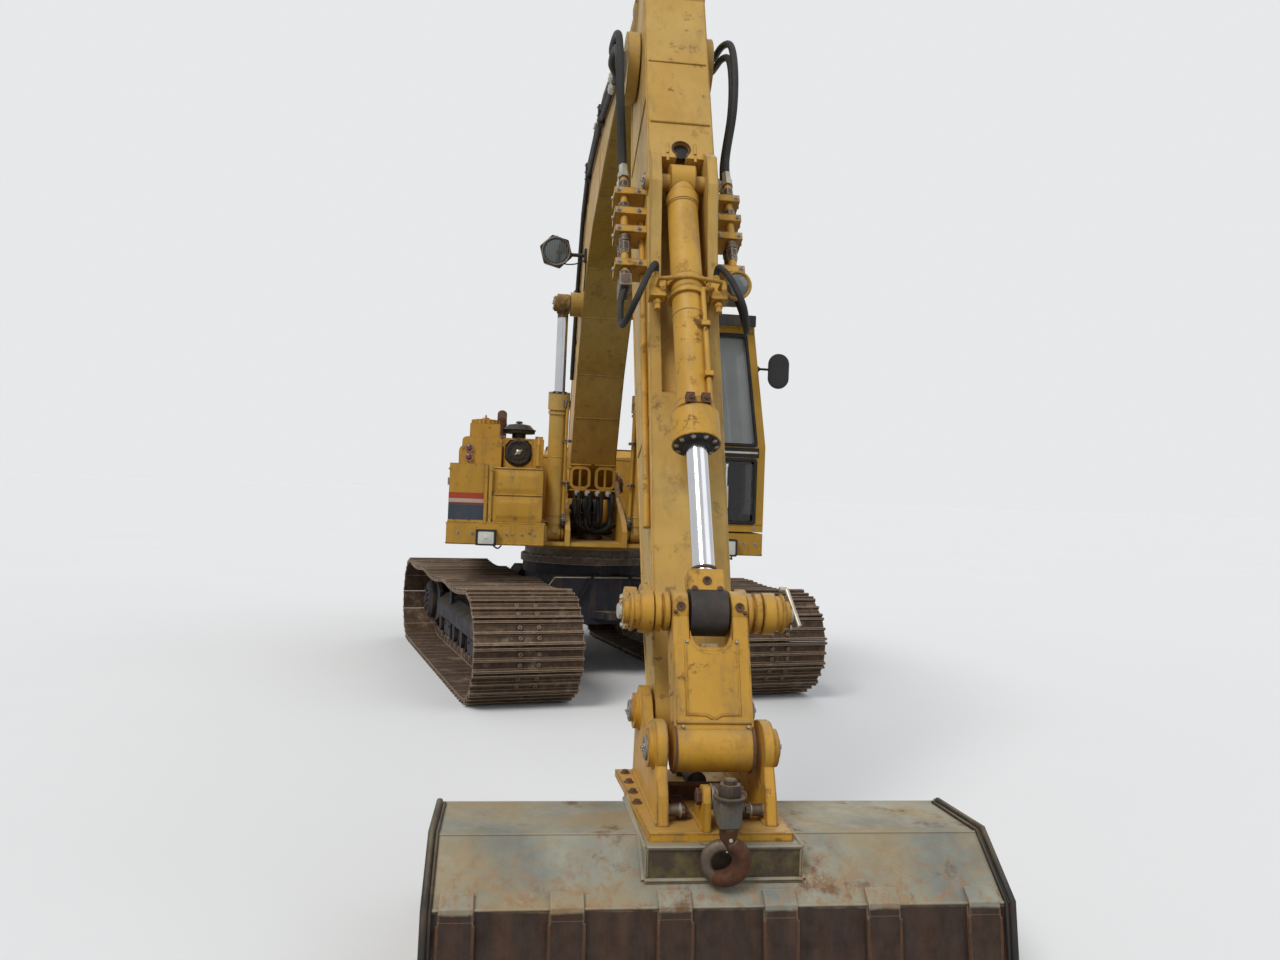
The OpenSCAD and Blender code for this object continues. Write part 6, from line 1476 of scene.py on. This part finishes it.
with Piece("forged_hook", BUCKET, "rusty", angle=60) as p:
    rings = [(c - Z * drop, -Z, r, r) for drop, r in ((0.045, 0.030), (0.07, 0.028), (0.09, 0.025))]
    for f in (k / HOOK_STEPS for k in range(HOOK_STEPS + 1)):
        # the hook opens towards the left of the picture; its bowl is thickest at the bottom
        a = math.radians(92 - 262 * f)
        at = centre + Vector((0, 0.05 * math.cos(a) + 0.018 * (1 - f), 0.05 * math.sin(a)))
        thick = 0.022 + 0.008 * math.sin(math.pi * min(1, f * 1.25)) - 0.014 * max(0, (f - 0.75) / 0.25)
        rings.append((at, Vector((0, math.sin(a), -math.cos(a))), thick, thick * 1.12))
    p.sweep([around(at, 1, 16, X * r2, t.cross(X).normalized() * r1) for at, t, r1, r2 in rings])
with Piece("hook_latch", BUCKET, "alu", 0.001) as p:
    p.box(centre + Vector((-0.012, 0.01, 0.03)), centre + Vector((0.012, 0.018, 0.075)))
    p.cyl(centre + Vector((-0.03, 0.02, 0.072)), centre + Vector((0.03, 0.02, 0.072)), 0.006, 10)

# Bucket: crease beads, side rims, wear strips' tabs and welds, box edges, edge bolts and lip

HALF, RIM_IN = 0.9, 0.88
with Piece("bucket_crease", BUCKET, "bucket", angle=80) as p:
    for x, z, r, n in ((5.961, 0.4835, 0.004, 8), (6.166, 0.3355, 0.005, 8), (5.60, 0.463, 0.012, 10)):
        p.tube([(x, y, z) for y in (-RIM_IN, 0, RIM_IN)], r, n)
with Piece("bucket_rims", BUCKET, "black", angle=80) as p:
    line = [(5.62, 0.482), (5.966, 0.4965), (6.178, 0.342), (6.213, 0.147), (6.158, 0.052), (6.046, 0.0125)]
    for s in (-1, 1):
        p.tube([(x, s * (HALF - 0.01), z) for x, z in line], 0.011, 10)
        p.tube([(x - 0.004, s * (HALF - 0.026), z - 0.008) for x, z in line[:5]], 0.007)
STRIPS = [i * 0.32 - 0.8 for i in range(6)]
with Piece("wear_strip_tabs", BUCKET, "bucket", 0.003) as p:
    # pale tab of each strip, folded over the crease
    tab = ((6.128, 0.3675), (6.169, 0.3378), (6.1755, 0.302), (6.1845, 0.3036), (6.1805, 0.344),
           (6.1345, 0.3765))
    for y in STRIPS:
        p.prism([(x, y - 0.05, z) for x, z in tab], Y, 0.10)
with Piece("wear_strip_welds", BUCKET, "rusty", angle=80) as p:
    for y in STRIPS:
        for k in (-0.051, 0.051):
            p.tube([(x, y + k, z) for x, z in ((6.184, 0.30), (6.2085, 0.152), (6.160, 0.046))], 0.005)
BOX_REAR, BOX_FRONT, BOX_HALF = 5.56, 6.095, 0.245
with Piece("adapter_box_edges", BUCKET, "bucket", angle=80) as p:
    front, inner = BOX_FRONT + 0.001, BOX_HALF - 0.004
    p.tube([(front, y, 0.486) for y in (-inner, inner)], 0.007)
    for s in (-1, 1):
        p.tube([(front, s * inner, z) for z in (0.40, 0.482)], 0.006)
        p.tube([(x, s * (BOX_HALF + 0.001), z) for x, z in (
            (BOX_FRONT, 0.486), (5.96, 0.487), (BOX_REAR, 0.487))], 0.006)
        p.tube([(x, s * (BOX_HALF + 0.003), z) for x, z in (
            (BOX_FRONT + 0.004, 0.388), (5.965, 0.4855), (BOX_REAR, 0.472))], 0.009)
    p.tube([(BOX_FRONT + 0.004, y, 0.388) for y in (-BOX_HALF, BOX_HALF)], 0.009)
with Piece("cutting_edge_bolts", BUCKET, "steel") as p:
    for k in range(9):
        p.lathe((5.17, k * 0.2 - 0.8, 0.027), Z, [(0.02, 0), (0.02, 0.004), (0.013, 0.007)], 12)
    for s in (-1, 1):
        p.bolts([(x, s * (HALF + 0.0005), z) for x, z in ((5.22, 0.05), (5.30, 0.10), (5.38, 0.17))], Y * s)
with Piece("cutting_edge_face", BUCKET, "lip") as p:
    p.prism([(x, 0.002 - HALF, z) for x, z in (
        (5.079, 0.0005), (5.079, 0.006), (5.13, 0.0275), (5.135, 0.0255), (5.13, 0.0255))], Y, 1.796)

# Doors, hood, counterweight, exhaust and rail feet


def frame_of(p, corners, width, radii, y, s, depth):
    """A raised rounded frame on a door, its corners given in X and Z."""
    p.ring(*[[(x, y, z) for x, z in rounded(inset(rect(*corners), d), r)] for d, r in zip((0, width), radii)],
           Y * s, depth)


for s, side in ((-1, "pump"), (1, "radiator")):
    y, body = s * 1.1785, side + "_door_body"
    if side == "radiator":
        # a hood over each slot of the panel
        with Piece("radiator_door_louvres", body, bevel=0.001) as p:
            for z in (1.415 + k * 0.046 for k in range(8)):
                p.prism([(-1.535, y + s * out, z + up) for out, up in (
                    (0, 0.0215), (0.014, 0.006), (0.014, 0.0085), (0, 0.033))], X, 0.628)
    else:
        with Piece("pump_door_pressings", body, bevel=0.0015) as p:
            for x0, x1 in ((-1.585, -1.235), (-1.155, -0.855)):
                frame_of(p, (x0, 1.40, x1, 1.75), 0.016, (0.03, 0.02), y, s, 0.006)
                for z in (1.45 + k * 0.045 for k in range(6)):
                    p.prism([(x0 + 0.05, y + s * out, z + up) for out, up in (
                        (0, 0), (0.011, 0.003), (0, 0.026))], X, x1 - x0 - 0.1)
    with Piece(f"{side}_door_edge", body, bevel=0.0015) as p:
        frame_of(p, (-1.672, 1.335, -0.768, 1.815), 0.018, (0.03, 0.024), y, s, 0.004)
    with Piece(f"{side}_door_latch", body, "steel", 0.002) as p:
        p.lathe((-0.815, y, 1.58), Y * s, [(0.026, 0), (0.026, 0.006), (0.019, 0.009)], 20)
        p.box((-0.822, y, 1.53), (-0.808, y + s * 0.022, 1.60))
    with Piece(f"{side}_door_hinge_bolts", body, "steel", angle=40) as p:
        p.bolts([(-1.645, s * 1.1835, z) for z in (1.443, 1.467, 1.683, 1.707)], Y * s, 0.006)

with Piece("hood_louvres", "hood_body", bevel=0.0012) as p:
    for x in (k * 0.095 - 1.5 for k in range(7)):
        p.prism([(x + dx, -0.215, z) for dx, z in (
            (-0.018, 1.9755), (0.024, 1.992), (0.024, 1.9885), (-0.003, 1.9755))], Y, 1.144)
with Piece("hood_handles", "hood_body", "steel", angle=60) as p:
    for y in (-0.30, 1.02):
        p.tube(smooth([(x, y + dy, z) for x, dy, z in (
            (-0.84, -0.07, 1.94), (-0.83, -0.06, 1.985), (-0.83, 0.06, 1.985),
            (-0.84, 0.07, 1.94))]), 0.008, 10)
with Piece("hood_latches", "hood_body", "steel", 0.001) as p:
    for y in (-0.05, 0.76):
        p.box((-0.712, y - 0.03, 1.9035), (-0.7015, y + 0.03, 1.9075))
        p.box((-0.7025, y - 0.022, 1.86), (-0.6955, y + 0.022, 1.9075))
        p.bolt((-0.6955, y, 1.888), X, 0.009)
with Piece("counterweight_seams", angle=80) as p:
    for s in (-1, 1):
        for z in (1.24, 1.68):
            p.tube([(x, s * 1.1905, z) for x in (-1.76, -2.0)], 0.004)
with Piece("tow_lug", bevel=0.003) as p:
    p.box((-2.43, -0.06, 1.068), (-2.286, 0.06, 1.094))
with Piece("tow_pin", mat="steel", angle=40) as p:
    p.cyl((-2.375, 0, 1.05), (-2.375, 0, 1.262), 0.02, 18)
    p.tube(around((-2.375, 0, 1.10), 0.03, 16, X, Y), 0.006, closed=True)
STACK = Vector((-1.12, -0.82, 0))
with Piece("exhaust_collars", mat="rusty", angle=40) as p:
    p.lathe(STACK + Z * 1.8705, Z, [(0.11, 0), (0.11, 0.008), (0.097, 0.01)], 36)
    p.bolts(around(STACK + Z * 1.8785, 0.104, 6, X, Y), Z, 0.005)
    for z in (2.02, 2.20):
        p.lathe(STACK + Z * z, Z, [(0.0482, 0), (0.053, 0), (0.053, 0.018), (0.0482, 0.018)], 28)
with Piece("rail_feet", mat="yellow_rusty", angle=40) as p:
    for foot in ((0.755, -0.49, 1.7455), (1.01, -0.49, 1.7455), (-0.13, 1.165, 1.2805),
                 (-0.43, 1.165, 1.2805)):
        p.lathe(foot, Z, [(0.034, 0), (0.034, 0.006), (0.02, 0.008)], 20)

# Stage: a plain floor, a camera fitted to the photograph, a pale studio and three soft suns


def add(name, data):
    obj = bpy.data.objects.new(name, data)
    bpy.context.scene.collection.objects.link(obj)
    return obj


# the camera's place and directions, with a focal length of 1000 px on a picture 1280 px wide
FOCAL_PX, PICTURE_PX, SENSOR_MM = 1000, 1280, 36
lens = bpy.data.cameras.new("camera")
lens.sensor_width = SENSOR_MM
lens.lens = SENSOR_MM * FOCAL_PX / PICTURE_PX
camera = add("camera", lens)
fwd = Vector((-0.99199, 0.12558, 0.01383)).normalized()
right = Vector((0.12601, 0.99133, 0.03714))
right = (right - fwd * right.dot(fwd)).normalized()
facing = Matrix((right, right.cross(fwd), -fwd)).transposed().to_4x4()
camera.matrix_world = Matrix.Translation((9.0996, -0.6836, 1.5548)) @ facing
bpy.context.scene.camera = camera


def seen_ray(tree):
    """1 on rays of the camera, also where metal mirrors them or glass lets them through."""
    path = tree.nodes.new("ShaderNodeLightPath")
    total = path.outputs["Is Camera Ray"]
    for kind in ("Is Glossy Ray", "Is Transmission Ray"):
        either = tree.nodes.new("ShaderNodeMath")
        either.operation = "MAXIMUM"
        tree.links.new(total, either.inputs[0])
        tree.links.new(path.outputs[kind], either.inputs[1])
        total = either.outputs[0]
    return total


def studio_colour(name, seen, bounced):
    """A plain pale surface that throws less light back on the object than its seen colour would."""
    m = Nodes(name)
    tone = m.mix(m.spots(0.3, 0.7, 0.35, 3), scaled(seen, 0.985), seen)
    return m.shade({"Base Color": m.mix(seen_ray(m.tree), bounced, tone), "Roughness": 0.9,
                    "Specular IOR Level": 0.1})


FLOOR_HALF = 900
mesh = bpy.data.meshes.new("floor")
mesh.from_pydata([(x, y, 0) for x, y in rect(-FLOOR_HALF, -FLOOR_HALF, FLOOR_HALF, FLOOR_HALF)], [],
                 [(0, 1, 2, 3)])
mesh.materials.append(studio_colour("studio_floor", (0.857, 0.856, 0.866), (0.12, 0.13, 0.10)))
add("floor", mesh)

SKY, SKY_TINT, BACKDROP = 0.46, (0.93, 0.97, 1.0), (0.80, 0.81, 0.82)
world = bpy.data.worlds.new("studio")
bpy.context.scene.world = world
world.use_nodes = True
tree = world.node_tree
tree.nodes.clear()
out, light, seen, both = (tree.nodes.new("ShaderNode" + kind) for kind in (
    "OutputWorld", "Background", "Background", "MixShader"))
for background, tint, strength in ((light, SKY_TINT, SKY), (seen, BACKDROP, 1.0)):
    background.inputs[0].default_value = (*tint, 1)
    background.inputs[1].default_value = strength
for source, socket in ((seen_ray(tree), both.inputs[0]), (light.outputs[0], both.inputs[1]),
                       (seen.outputs[0], both.inputs[2]), (both.outputs[0], out.inputs[0])):
    tree.links.new(source, socket)


def soft_sun(name, place, spread, strength, tint):
    """A far lamp that shines from the place towards the middle of the machine."""
    lamp = bpy.data.lights.new(name, "SUN")
    lamp.angle, lamp.energy, lamp.color = math.radians(spread), strength, tint
    obj = add(name, lamp)
    obj.location = place
    obj.rotation_euler = (-Vector(place)).to_track_quat("-Z", "Y").to_euler()


soft_sun("key", (6, -5, 9), 24, 1.55, (1.0, 0.98, 0.94))
soft_sun("fill", (5, 8, 6), 50, 0.45, (0.95, 0.98, 1.0))
soft_sun("back", (-8, 3, 7), 40, 0.30, (0.95, 0.98, 1.0))
bpy.context.scene.view_settings.view_transform = "Standard"
